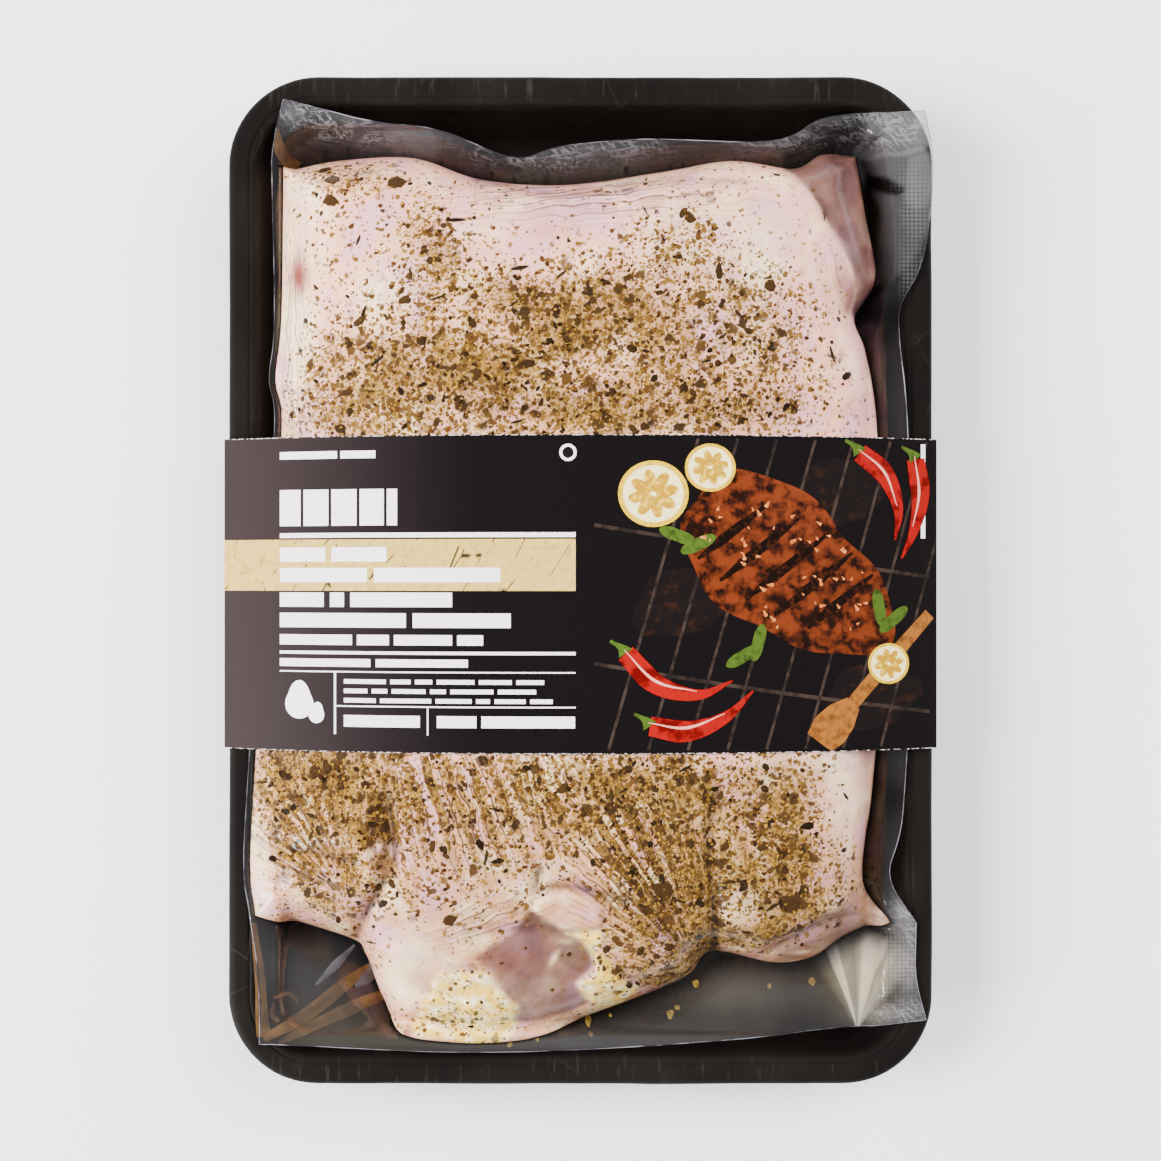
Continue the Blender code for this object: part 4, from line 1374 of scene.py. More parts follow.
    def bird_height(self, x: Array, y: Array, fine: float = 1.0) -> Array:
        """Give the chicken's upper face: the card's arch, lobes, creases, relief and a rounded edge.

        Args:
            x: places across.
            y: places along.
            fine: how much of the creases and the fine relief is followed.

        Returns:
            The heights.
        """
        freed = self.exposed(y)
        lumps = 1.3 * np.sin(x / 21) * np.cos(y / 17) + 0.8 * np.sin(x / 11 + y / 14)
        ends = np.clip((y - 78) / 62, 0, 1) ** 2 * 9 + np.clip((-72 - y) / 62, 0, 1) ** 2 * 17
        crown = self.sleeve.arch(x) - self.sleeve.card - self.card_clearance - ends
        crown = crown + freed * (self.bulge + lumps + fine * self.relief(x, y))
        for path, depth, width in self.creases:
            dip = np.exp(-(distance_to(smooth_run(path, 6), x, y) / width) ** 2)
            crown = crown - fine * freed * depth * dip
        seam = self.seam(x, y)
        rise = np.maximum(crown - seam, self.flange)
        edge = distance_to(self.outline, x, y)
        return seam + rise * self.rounding(edge, self.shoulder) + self.flange / 2 - 0.25

    def belly_height(self, x: Array, y: Array) -> Array:
        """Give the chicken's underside, clear of the tray's wall and floor.

        Args:
            x: places across.
            y: places along.

        Returns:
            The heights.
        """
        foot = self.foot_z()
        fall = (self.seam_z - foot) * self.rounding(distance_to(self.outline, x, y), self.belly_radius)
        clear = self.tray.height(x, y, self.standoff) + self.clearance - self.flange / 2
        return np.maximum(self.seam(x, y) - self.flange / 2 - fall, clear)

    def foot_z(self) -> float:
        """Give the height of the chicken's flat underside."""
        return self.tray.base_z + self.tray.inner[-1][1] + 0.35

    def patch(self, u: Array, v: Array) -> Array:
        """Give a Coons patch: at each share across and along, the blend of the chicken's four sides.

        Args:
            u: shares across, from 0 to 1.
            v: shares along.

        Returns:
            The places in X and Y.
        """
        bottom = along(self.sides["bottom"], u)
        top = along(self.sides["top"], u)
        left = along(self.sides["left"], v)
        right = along(self.sides["right"], v)
        across = u[..., None]
        up = v[..., None]
        lower, upper = self.sides["bottom"], self.sides["top"]
        low = (1 - across) * lower[0] + across * lower[-1]
        high = (1 - across) * upper[0] + across * upper[-1]
        sides = (1 - up) * bottom + up * top + (1 - across) * left + across * right
        return sides - (1 - up) * low - up * high

    @staticmethod
    def crowded(cells: int) -> Array:
        """Give fractions from 0 to 1 in so many cells, closer together near both ends."""
        even = np.linspace(0, 1, cells + 1)
        return 0.6 * even + 0.4 * (0.5 - 0.5 * np.cos(math.pi * even))

    def rows(self, cells: int, hidden: float = 0.25) -> Array:
        """Give fractions along the chicken in so many cells, wider apart where the card hides it.

        Args:
            cells: the number of cells.
            hidden: how closely the rows lie under the card, against 1 beyond it.

        Returns:
            The fractions from 0 to 1.
        """
        fine = np.linspace(0, 1, 2000)
        low, high = self.sides["left"][0, 1], self.sides["left"][-1, 1]
        y = low + fine * (high - low)
        covered = (y > self.sleeve.low_y + 6) & (y < self.sleeve.high_y - 6)
        ends = 1.2 * np.exp(-fine / 0.03) + 1.2 * np.exp((fine - 1) / 0.03)
        weight = np.where(covered, hidden, 1.0) + ends
        reach = np.cumsum(weight) - weight[0]
        return np.interp(np.linspace(0, 1, cells + 1), reach / reach[-1], fine)

    @staticmethod
    def rim(u: Array, v: Array, inset: float) -> tuple[Array, Array]:
        """Give the shares across and along of a loop that lies a share inside the patch's edge.

        Args:
            u: the grid's fractions across.
            v: the grid's fractions along.
            inset: the loop's inset as a share.

        Returns:
            The loop's shares, counter-clockwise from the lower left corner.
        """
        low, high = inset, 1 - inset
        across = np.clip(u, low, high)
        up = np.clip(v, low, high)
        wide, tall = len(u) - 1, len(v) - 1
        first = np.concatenate((across[:-1], np.full(tall, high), across[:0:-1], np.full(tall, low)))
        second = np.concatenate((np.full(wide, low), up[:-1], np.full(wide, high), up[:0:-1]))
        return first, second

    @staticmethod
    def rim_numbers(across: int, up: int) -> Array:
        """Give the grid's point numbers round its edge, in the order of rim."""
        columns = up + 1
        bottom = np.arange(across) * columns
        right = across * columns + np.arange(up)
        top = np.arange(across, 0, -1) * columns + up
        left = np.arange(up, 0, -1)
        return np.concatenate((bottom, right, top, left))


@dataclass
class Chicken:
    """The flattened bird: one closed body of skin, bare muscle and fat."""

    form: PouchForm
    cells: tuple[int, int] = (264, 360)
    belly_rings: tuple[float, ...] = (0.012, 0.035, 0.065, 0.1)
    spice: tuple[Patch, ...] = (
        Patch(-17, 61, 60, 20, 3, 0.95), Patch(-44, 96, 9, 17, 20, 0.65), Patch(-70, 118, 15, 7, -5, 0.5),
        Patch(42, 68, 34, 22, 0, 0.38), Patch(28, 101, 15, 10, 0, 0.36), Patch(-66, 54, 18, 14, 30, 0.6),
        Patch(-6, 50, 80, 9, 0, 0.5), Patch(4, 82, 50, 12, 0, 0.4), Patch(-80, -62, 20, 16, 0, 1.3),
        Patch(-74, -84, 16, 12, -20, 0.9), Patch(-54, -62, 16, 14, 0, 1.1),
        Patch(-34, -67, 22, 15, 0, 0.62), Patch(-12, -64, 20, 16, 0, 0.5), Patch(15, -62, 22, 14, 0, 1),
        Patch(24, -82, 16, 26, 8, 1.25), Patch(30, -105, 12, 12, 0, 0.7), Patch(18, -113, 12, 8, 0, 0.6),
        Patch(54, -62, 18, 12, 0, 0.75), Patch(57, -82, 19, 18, -10, 0.9), Patch(70, -96, 13, 12, 0, 0.75),
        Patch(52, -104, 14, 7, 0, 0.7), Patch(-42, -90, 16, 8, -20, 0.35), Patch(-40, -130, 12, 5, 0, 0.3),
    )
    clean: tuple[Patch, ...] = (
        Patch(88, 76, 17, 60, 0, 1.0), Patch(83, -60, 14, 19, 0, 1.0), Patch(-88, 84, 8, 42, 0, 0.95),
        Patch(-96, -86, 5, 26, 0, 0.7), Patch(-49, -112, 12, 13, 20, 0.85), Patch(-4, 108, 40, 9, 0, 0.5),
        Patch(66, 106, 18, 18, 0, 0.5),
    )
    lilac: tuple[Patch, ...] = (
        Patch(-4, 106, 34, 14, 0, 0.45), Patch(56, 96, 22, 24, 0, 0.35), Patch(84, 70, 7, 30, 0, 0.5),
        Patch(-78, -97, 14, 5, 0, 0.9), Patch(78, -58, 12, 22, 0, 0.8), Patch(26, -58, 14, 8, 0, 0.5),
        Patch(68, -104, 12, 5, 0, 0.6), Patch(-92, 20, 6, 60, 0, 0.4), Patch(-88, 58, 4, 12, 0, 0.5),
    )
    # Cream patches: the skin's cream tone, and at (-49, -109), (-55, -119) and (-30, -121) painted
    # highlights on the lower lobes.
    cream: tuple[Patch, ...] = (
        Patch(-84, 76, 6, 34, 0, 0.75), Patch(-58, 84, 10, 7, 20, 0.6), Patch(-49, -109, 8, 8, 20, 0.95),
        Patch(-55, -119, 5, 8, 20, 0.9), Patch(-30, -121, 8, 6, 0, 0.8), Patch(40, 100, 24, 16, 0, 0.35),
        Patch(-96, -86, 4, 22, 0, 0.8), Patch(68, -56, 18, 10, 0, 0.4), Patch(80, -70, 8, 16, 0, 0.5),
    )
    red: tuple[Patch, ...] = (
        Patch(-83, 90, 3.4, 6.0, 8, 1.1), Patch(-8, 101, 7, 4, 0, 0.3), Patch(-62, 119, 16, 5, 0, 0.1),
        Patch(78, 86, 3.4, 3.4, 0, 0.4), Patch(-26, -112, 10, 6, 0, 0.15), Patch(-70, -75, 2, 9, 0, 0.25),
    )
    flesh: tuple[Patch, ...] = (
        Patch(-66, -73.3, 3.4, 8.5, 4, 0.9), Patch(78, 86, 4, 4, 0, 0.6), Patch(-3, -95, 8, 5, 0, 0.5),
        Patch(88, -99, 3.4, 3.4, 0, 0.8), Patch(-62, 117, 18, 6, 0, 0.3),
    )
    dark: tuple[Patch, ...] = (
        Patch(-57, -64, 3, 6, -10, 0.4), Patch(23, -92, 7, 3.6, -30, 0.75),
        Patch(20, -101, 5, 2.6, -30, 0.7), Patch(-75.6, -60.5, 2.4, 6.5, -10, 0.7),
        Patch(60, -94, 9, 2.6, 0, 0.55), Patch(50, -58, 9, 4, 30, 0.35),
        Patch(-88.4, -51.3, 3.2, 4.4, 0, 0.7), Patch(-68, -51.3, 3, 3.4, 0, 0.7),
        Patch(-88.2, -82, 3.6, 1.1, 8, 0.8), Patch(-87.4, -87.6, 1.6, 1.6, 0, 0.9),
        Patch(67, -58, 9, 3, 30, 0.35), Patch(-12.4, -88, 2.6, 2.6, 0, 0.5),
        Patch(8, -90.6, 3.6, 1.4, -5, 0.95), Patch(-57.6, -75, 1.8, 3.2, 0, 0.6),
    )
    # Pale spots, most of them painted highlights: glints on the lower lobes, on the bare muscle and along
    # the left fold.
    pale_and_glare_spots: tuple[Patch, ...] = (
        Patch(-61.7, -79.7, 1.5, 2, 0, 1), Patch(-58.8, -77.4, 1.1, 1.3, 0, 0.8),
        Patch(-7.4, -109.6, 0.9, 3.4, -30, 0.9), Patch(-3.8, -105.3, 2, 0.8, 0, 0.9),
        Patch(-30, -120.5, 3, 7, -38, 0.9), Patch(-49.1, -107.3, 5, 5, 0, 0.95),
        Patch(-55.9, -117.6, 3.2, 6, 0, 0.9), Patch(66, -110.5, 3.6, 1, 0, 0.9),
        Patch(46.6, -108.8, 4.6, 1.4, 0, 0.8), Patch(-93.4, -82, 1.2, 14, 0, 0.8),
    )

    def spice_share(self, x: Array, y: Array) -> Array:
        """Give how thickly spice lies on the skin.

        Args:
            x: places across.
            y: places along.

        Returns:
            The share from 0 to 1.
        """
        share = np.maximum(total(self.spice, x, y), 0.12)
        share = share * (0.9 + 0.45 * cloud(x, y, 12.0, SEED + 41) + 0.3 * cloud(x, y, 4.5, SEED + 43))
        form = self.form
        bare = np.maximum(total(self.clean + self.pale_and_glare_spots, x, y), area_share(form.muscle_top, x, y, 4.0))
        for area, amount in ((form.muscle_low, 0.8), (form.muscle_side, 0.8), (form.flap, 0.85)):
            bare = np.maximum(bare, amount * area_share(area, x, y, 3.0))
        return np.clip(share * (1 - bare), 0, 1)

    def paints(self, x: Array, y: Array) -> dict[str, Array]:
        """Give the painted shares that the skin's finish reads.

        Args:
            x: places across.
            y: places along.

        Returns:
            The attributes "flesh", "tint" and "streaks".
        """
        form = self.form
        muscle = 0.75 * area_share(form.muscle_side, x, y, 3.4, 1.2)
        for area, ragged in ((form.muscle_low, 0.8), (form.muscle_top, 0.9)):
            muscle = np.maximum(muscle, area_share(area, x, y, 2.4, ragged))
        muscle = muscle * (0.86 + 0.2 * cloud(x, y, 7.0, SEED + 45))
        fat = area_share(form.fat_low, x, y, 2.0, 1.6)
        fat = np.maximum(fat, area_share(form.fat_fringe, x, y, 1.6, 1.4))
        spice = self.spice_share(x, y)
        shade = total(self.dark, x, y) * (0.8 + 0.5 * cloud(x, y, 5.0, SEED + 47))
        shade = np.maximum(shade, 0.62 * area_share(form.hollow, x, y, 2.6, 0.8))
        shade = np.maximum(shade, 0.4 * area_share(form.pocket, x, y, 1.8, 0.4))
        shade = np.maximum(shade, 0.34 * area_share(form.muscle_top, x, y, 2.4, 0.9))
        for path, depth, width in form.creases:
            line = np.exp(-(distance_to(smooth_run(path, 6), x, y) / (width * 0.5)) ** 2)
            shade = np.maximum(shade, 0.28 * depth * line * (0.8 + 0.6 * cloud(x, y, 6.0, SEED + 49)))
        # Painted highlights: the spots turn cream and clear the shade and the muscle under them.
        pale = total(self.pale_and_glare_spots, x, y)
        shade = np.clip(shade, 0, 1) * (1 - 0.6 * fat) * (1 - pale)
        muscle = np.clip(muscle, 0, 1) * (1 - pale)
        # Painted falloff: below y = -50 the skin is tinted warmer and darker, as the light fades towards the
        # lower end; spice, random tone and the flesh patches warm it too.
        low = np.clip((-50 - y) / 8, 0, 1)
        warm = np.clip(0.7 * low + 0.25 * spice + 0.15 * cloud(x, y, 14.0, SEED + 53), 0, 1)
        warm = np.maximum(warm, total(self.flesh, x, y))
        lilac = total(self.lilac, x, y) * (1 - 0.6 * spice)
        cream = np.maximum(total(self.cream, x, y), pale)
        flesh = np.stack((muscle, fat, spice, shade), axis=-1)
        tint = np.stack((lilac, cream, warm * (1 - 0.7 * cream), total(self.red, x, y)), axis=-1)
        shares = np.stack([wrinkle.oval.share(x, y) for wrinkle in form.wrinkles])
        counts = np.stack([wrinkle.phase(x, y) for wrinkle in form.wrinkles])
        first = np.take_along_axis(counts, shares.argmax(axis=0)[None], axis=0)[0]
        second, most = np.sort(shares, axis=0)[-2:]
        pull = most * np.clip((most - second) / 0.12, 0, 1) * (1 - muscle) * (1 - fat)
        streaks = np.stack((first, pull, np.zeros(np.shape(x)), np.ones(np.shape(x))), axis=-1)
        return {"flesh": flesh, "tint": tint, "streaks": streaks}

    def build(self, finish: SkinFinish) -> bpy.types.Object:
        """Make the bird: the upper grid, then loops under it down to a flat foot.

        Args:
            finish: the skin's finish.

        Returns:
            The chicken's piece.
        """
        form = self.form
        u = form.crowded(self.cells[0])
        v = form.rows(self.cells[1])
        across, up = np.meshgrid(u, v, indexing="ij")
        spots = form.patch(across, up)
        x, y = spots[..., 0].ravel(), spots[..., 1].ravel()
        layers = [np.column_stack((x, y, form.bird_height(x, y)))]
        faces = [grid_faces(len(u), len(v))]
        loop = form.rim_numbers(len(u) - 1, len(v) - 1)
        used = len(x)
        for inset in self.belly_rings:
            ring = form.patch(*form.rim(u, v, inset))
            height = form.belly_height(ring[:, 0], ring[:, 1])
            if inset == self.belly_rings[-1]:
                height = np.full(len(ring), form.foot_z())
            layers.append(np.column_stack((ring, height)))
            new = used + np.arange(len(ring))
            faces.append(skirt(loop, new))
            loop = new
            used += len(ring)
        layers.append(np.array(((0, -5, form.foot_z()),)))
        faces.append(np.column_stack((np.roll(loop, -1), loop, np.full(len(loop), used))))
        points = np.vstack(layers)
        paints = self.paints(points[:, 0], points[:, 1])
        piece = make_piece("chicken", points, faces, [finish.material()], paints)
        return dress(piece)


class Speck(Enum):
    """The kinds of seasoning: count, lengths, width share, height, sides, seed, spice bias and finish."""

    GOLD_GRAIN = ("gold_grains", 4600, (0.6, 1.6), (0.6, 1.0), 0.34, 5, 1, 1.0,
                  SpiceFinish("ground_spice", "#54380c", "#a67c2c"))
    BROWN_GRAIN = ("brown_grains", 3800, (0.6, 2.0), (0.5, 0.95), 0.34, 5, 2, 0.92,
                   SpiceFinish("cracked_pepper", "#231205", "#5c3b15"))
    DARK_FLAKE = ("herb_flakes", 460, (1.2, 3.8), (0.4, 0.85), 0.26, 7, 3, 0.75,
                  SpiceFinish("dried_herb", "#170d03", "#3a2610"))
    NEEDLE = ("herb_needles", 40, (3.0, 6.0), (0.16, 0.26), 0.40, 6, 4, 0.5,
              SpiceFinish("rosemary_leaf", "#17110a", "#30250f"))


@dataclass
class Seasoning:
    """The grains and flakes on the skin, scattered where spice lies thickest."""

    chicken: Chicken
    margin: float = 2.5
    under_card: float = 4.0
    placed_needles: tuple[tuple[float, float, float, float], ...] = (
        (-36.6, 104.6, 8.0, 2), (-17.6, 90.0, 6.6, 8), (73.5, 66.0, 6.2, -72), (-5.5, 88.0, 5.0, 35),
        (-63.0, 78.0, 5.0, 70), (-64.5, 99.0, 4.0, 68),
    )
    placed_flakes: tuple[tuple[float, float, float, float], ...] = (
        (-76.0, 121.5, 4.6, 20), (-73.0, 117.5, 5.6, 0), (-53.5, 116.2, 6.2, 20), (-73.0, 111.0, 5.0, 15),
        (29.5, 106.0, 4.6, 60), (31.5, 104.6, 4.4, 120), (40.0, 89.0, 6.0, 100), (55.0, 85.5, 5.4, 130),
        (-64.0, 75.5, 5.6, 40), (-51.0, 81.0, 4.0, 30), (-16.0, 62.0, 6.5, 10), (-30.0, 59.0, 4.5, 60),
        (-68.0, 55.0, 5.0, 20), (24.0, -89.5, 8.0, -30), (19.0, -95.0, 5.5, -20), (66.0, -71.5, 5.5, 5),
        (-38.0, -98.5, 5.5, 10), (-5.0, -60.0, 6.0, 20), (61.0, -94.0, 8.0, 0), (-57.0, -72.0, 5.0, 60),
        (-29.0, -76.0, 4.5, -50), (53.0, -77.0, 4.5, 20), (-78.0, -56.0, 6.0, 70), (9.0, -66.0, 5.0, -60),
        (-24.0, -81.0, 4.0, 10), (-57.5, -94.0, 5.0, 30), (36.0, -62.0, 4.5, 80), (78.0, 60.0, 4.0, 30),
    )

    def scatter(self, kind: Speck) -> tuple[Array, Array, Array, Array]:
        """Draw places for one kind, kept where a random number falls under the spice's share.

        Args:
            kind: the kind of seasoning.

        Returns:
            X, Y, length and turn of each speck.
        """
        _, count, (short, long), _, _, _, seed, bias, _ = kind.value
        form = self.chicken.form
        draw = np.random.default_rng(SEED + 100 + seed)
        tries = count * 14
        x = draw.uniform(-100, 96, tries)
        y = draw.uniform(-138, 130, tries)
        chance = self.chicken.spice_share(x, y)
        chance = bias * chance ** 1.25 + (1 - bias) * 0.28 * np.sqrt(chance)
        open_air = (y > form.sleeve.high_y - self.under_card) | (y < form.sleeve.low_y + self.under_card)
        on_bird = inside(form.outline[:-1], x, y) & (distance_to(form.outline, x, y) > self.margin)
        kept = np.flatnonzero((draw.uniform(0, 1, tries) < chance) & open_air & on_bird)[:count]
        length = short + (long - short) * draw.uniform(0, 1, len(kept)) ** 2.2
        return x[kept], y[kept], length, draw.uniform(0, math.pi, len(kept))

    def build(self, kind: Speck) -> bpy.types.Object:
        """Make one kind's piece: each speck is a low faceted lump laid on the skin.

        Args:
            kind: the kind of seasoning.

        Returns:
            The piece.
        """
        name, _, _, (thin, wide), height, sides, seed, _, finish = kind.value
        x, y, length, turn = self.scatter(kind)
        by_hand = {Speck.NEEDLE: self.placed_needles, Speck.DARK_FLAKE: self.placed_flakes}.get(kind, ())
        if by_hand:
            placed = np.array(by_hand)
            x, y, length = (np.concatenate((drawn, placed[:, column]))
                            for column, drawn in enumerate((x, y, length)))
            turn = np.concatenate((turn, np.radians(placed[:, 3])))
        draw = np.random.default_rng(SEED + 200 + seed)
        count = len(x)
        width = length * draw.uniform(thin, wide, count)
        angle = 2 * math.pi * (np.arange(sides) + 0.5) / sides
        uneven = draw.uniform(0.72, 1.18, (count, sides))
        u = 0.5 * length[:, None] * np.cos(angle) * uneven
        v = 0.5 * width[:, None] * np.sin(angle) * uneven
        cos, sin = np.cos(turn)[:, None], np.sin(turn)[:, None]
        ring_x = x[:, None] + u * cos - v * sin
        ring_y = y[:, None] + u * sin + v * cos
        top_x = x[:, None] + 0.62 * (u * cos - v * sin)
        top_y = y[:, None] + 0.62 * (u * sin + v * cos)
        all_x = np.column_stack((ring_x, top_x, x, x))
        all_y = np.column_stack((ring_y, top_y, y, y))
        ground = self.chicken.form.bird_height(all_x.ravel(), all_y.ravel()).reshape(all_x.shape)
        tall = height * np.clip(length / 1.5, 0.5, 1.1)[:, None]
        lift = np.concatenate((np.full(sides, -0.12), np.full(sides, 0.85), (1.0, -0.3)))
        points = np.dstack((all_x, all_y, ground + lift * tall)).reshape(-1, 3)
        step = np.arange(sides)
        after = (step + 1) % sides
        wall = np.column_stack((step, after, sides + after, sides + step))
        cap = np.column_stack((sides + step, sides + after, np.full(sides, 2 * sides)))
        base = np.column_stack((after, step, np.full(sides, 2 * sides + 1)))
        shift = (np.arange(count) * (2 * sides + 2))[:, None, None]
        faces = [(shift + group).reshape(-1, group.shape[1]) for group in (wall, cap, base)]
        tone = np.repeat(draw.uniform(0, 1, count), 2 * sides + 2)
        paint = np.stack((tone, tone, tone, np.ones(len(tone))), axis=-1)
        piece = make_piece(name, points, faces, [finish.material()], {"tone": paint}, smooth=False)
        return dress(piece)


@dataclass
class VacuumFilm:
    """The clear film: over the chicken, out across the flange, and its bright cut edge."""

    form: PouchForm
    cells: tuple[int, int] = (190, 260)
    rows: int = 32
    over: float = 0.62
    bridged: float = 0.25
    edge_radius: float = 0.2
    # Milky patches: the loose film's own clouding, and painted reflections that light its corners and strips
    # silver.
    haze_and_glare: tuple[Patch, ...] = (
        Patch(-72, 139, 16, 4, -12, 0.22), Patch(-86, 139, 4, 4, 0, 0.3), Patch(98, 135, 9, 6, 10, 0.4),
        Patch(4, 128, 22, 4, 5, 0.16), Patch(60, 134, 16, 4, 15, 0.2), Patch(-84, -118, 12, 12, 0, 0.12),
        Patch(98, -112, 4, 14, 0, 0.5), Patch(97, -99, 4, 5, 0, 0.6), Patch(45, -122, 34, 10, 0, 0.16),
        Patch(94, -129, 10, 3, 5, 0.5), Patch(-10, -137, 70, 4, 0, 0.16), Patch(-50, 132, 18, 4, 0, 0.2),
    )
    # Painted light and shade on flat facets of the loose film: a positive amount lightens, a negative one
    # darkens.
    facet_light_and_shade: tuple[tuple[Points, float], ...] = (
        (((81.8, 127.8), (94, 127.5), (103, 128), (105, 112), (102, 100), (96, 92), (89, 88), (88.6, 96),
          (90, 106), (89.8, 113), (86, 121)), 0.2),
        (((86.6, 123), (92, 119.5), (96.4, 116.4), (92.6, 115), (87.4, 119)), -0.3),
        (((98, 126), (104.5, 126), (103.6, 112), (97, 113)), 0.16),
        (((85.4, 141), (85.2, 134), (83.4, 127.8), (102, 127.8), (103, 141)), 0.22),
        (((-57, 139), (-45, 136), (-44.5, 126), (-58, 127)), 0.12),
    )
    pleat_apex: tuple[float, float] = (82.7, -133.7)
    pleat_reach: float = 29.0
    # Painted glints: where these lie, thin crease lines are brightened in the film's milkiness, as well as
    # bumped.
    folds: tuple[Patch, ...] = (
        Patch(-76, 138, 18, 5, -14, 1.0), Patch(78, 136, 16, 5, 20, 0.55), Patch(94, 135, 12, 6, 0, 1.0),
        Patch(4, 129, 26, 4, 5, 0.5), Patch(60, 133, 14, 4, 15, 0.6), Patch(-20, 127, 20, 3, -10, 0.4),
        Patch(97, -98, 4, 7, 0, 0.7), Patch(96, -129, 8, 4, 0, 0.6), Patch(100, -110, 4, 14, 0, 0.4),
    )
    # The seal's embossing is bumped, and its pattern is also painted brighter, a painted glint.
    seals: tuple[Patch, ...] = (
        Patch(99, 112, 4.5, 13, 4, 1.0), Patch(98, 92, 3.6, 7, 0, 0.7), Patch(96, -116, 5.0, 11, 0, 1.0),
    )
    ridges: tuple[tuple[Points, float, float], ...] = (
        (((82.7, -132), (77, -119), (73, -108)), 1.3, 2.4),
        (((82.7, -132), (83, -118), (83, -108)), -1.0, 2.2),
        (((82.7, -132), (88, -120), (92, -112)), 1.0, 2.6),
        (((88, 142), (88, 128), (92, 108), (89, 92)), 1.4, 2.0),
        (((-92, 128), (-78, 138), (-62, 137)), 1.2, 2.4),
        (((-95, -137), (-82, -128), (-60, -112)), 0.9, 2.0),
        (((-95, -137), (-78, -131), (-58, -126)), 0.7, 2.0),
    )

    def loose_height(self, x: Array, y: Array, share: Array) -> Array:
        """Give the loose film's height: the flange with ridges, ripples and a wavy free edge.

        Args:
            x: places across.
            y: places along.
            share: how far from the chicken towards the film's edge, from 0 to 1.

        Returns:
            The heights.
        """
        rise = np.zeros(np.shape(x))
        for path, height, width in self.ridges:
            rise = rise + height * np.exp(-(distance_to(smooth_run(path, 6), x, y) / width) ** 2)
        ripple = 0.5 * cloud(x * 1.4, y * 0.8, 11.0, SEED + 71) + 0.08 * cloud(x, y, 4.0, SEED + 73)
        lift = np.maximum(rise + ripple, -0.5) + 0.5
        return self.form.flange_height(x, y) + 0.1 + lift * np.sin(np.clip(share, 0, 1) * math.pi * 0.75)

    def pleat_shading(self, x: Array, y: Array, loose: Array) -> Array:
        """Give the way round the point that the folds of the gathered corner spread from, and how far they
        reach.

        Args:
            x: places across.
            y: places along.
            loose: 0 over the chicken and 1 on the flange.

        Returns:
            The angle as a share of a half turn, and the strength, for each place.
        """
        over_x = x - self.pleat_apex[0]
        over_y = y - self.pleat_apex[1]
        turn = np.arctan2(np.maximum(over_y, 0.0), over_x) / math.pi
        fade = loose * np.clip((self.pleat_reach - np.hypot(over_x, over_y)) / 6, 0, 1)
        none = np.zeros(len(x))
        return np.stack((turn, fade, none, none + 1), axis=-1)

    def paint(self, x: Array, y: Array, loose: Array) -> Array:
        """Give the painted shares that the film's finish reads.

        Args:
            x: places across.
            y: places along.
            loose: 0 over the chicken and 1 on the flange.

        Returns:
            Milkiness with painted reflections, creases, embossing and cream for each place.
        """
        # Painted reflections: the milky patches and the facet areas raise the loose film's milkiness where
        # light glints.
        milky = 0.03 + 0.03 * cloud(x, y, 16.0, SEED + 79) + 0.75 * total(self.haze_and_glare, x, y)
        for outline, amount in self.facet_light_and_shade:
            fall = np.clip((y - 84) / 34, 0.15, 1)
            milky = milky + amount * fall * area_share(outline, x, y, 1.2, 0.3)
        haze_and_glare = 0.004 + loose * np.maximum(milky, 0.0)
        creases = loose * total(self.folds, x, y)
        emboss = loose * total(self.seals, x, y)
        cream = loose * total((Patch(78, -118, 8, 13, 12, 1.0), Patch(88, -118, 6, 12, -10, 0.9),
                               Patch(40, -124, 30, 12, 0, 0.5), Patch(-60, -134, 40, 8, 0, 0.6)), x, y)
        return np.clip(np.stack((haze_and_glare, creases, emboss, cream), axis=-1), 0, 1)

    def build(self, finish: FilmFinish) -> bpy.types.Object:
        """Make the film: a grid just over the chicken, then rows out to the film's outline.

        Args:
            finish: the film's finish.

        Returns:
            The film's piece.
        """
        form = self.form
        u = form.crowded(self.cells[0])
        v = form.rows(self.cells[1])
        across, up = np.meshgrid(u, v, indexing="ij")
        spots = form.patch(across, up)
        x, y = spots[..., 0].ravel(), spots[..., 1].ravel()
        cling = np.maximum(form.bird_height(x, y), form.bird_height(x, y, self.bridged))
        layers = [np.column_stack((x, y, cling + self.over))]
        tight = np.zeros(len(x))
        paints, pleat_shading = [self.paint(x, y, tight)], [self.pleat_shading(x, y, tight)]
        faces = [grid_faces(len(u), len(v))]
        loop = form.rim_numbers(len(u) - 1, len(v) - 1)
        inner = layers[0][loop]
        inner_spots = inner[:, :2]
        edge = form.film_sides
        outer = np.vstack((along(edge["bottom"], u)[:-1], along(edge["right"], v)[:-1],
                           along(edge["top"], u)[:0:-1], along(edge["left"], v)[:0:-1]))
        used = len(x)
        for row in range(1, self.rows + 1):
            share = row / self.rows
            ring = inner_spots + share * (outer - inner_spots)
            height = self.loose_height(ring[:, 0], ring[:, 1], np.full(len(ring), share))
            settle = min(1.0, 3 * share)
            height = inner[:, 2] + settle * (height - inner[:, 2])
            layers.append(np.column_stack((ring, height)))
            loose = np.full(len(ring), min(1.0, 4 * share))
            paints.append(self.paint(ring[:, 0], ring[:, 1], loose))
            pleat_shading.append(self.pleat_shading(ring[:, 0], ring[:, 1], loose))
            new = used + np.arange(len(ring))
            faces.append(skirt(loop, new))
            loop = new
            used += len(ring)
        self.rim_line = layers[-1]
        piece = make_piece("pouch_film", np.vstack(layers), faces, [finish.material()],
                           {"film": np.vstack(paints), "pleat_shading": np.vstack(pleat_shading)})
        return dress(piece)

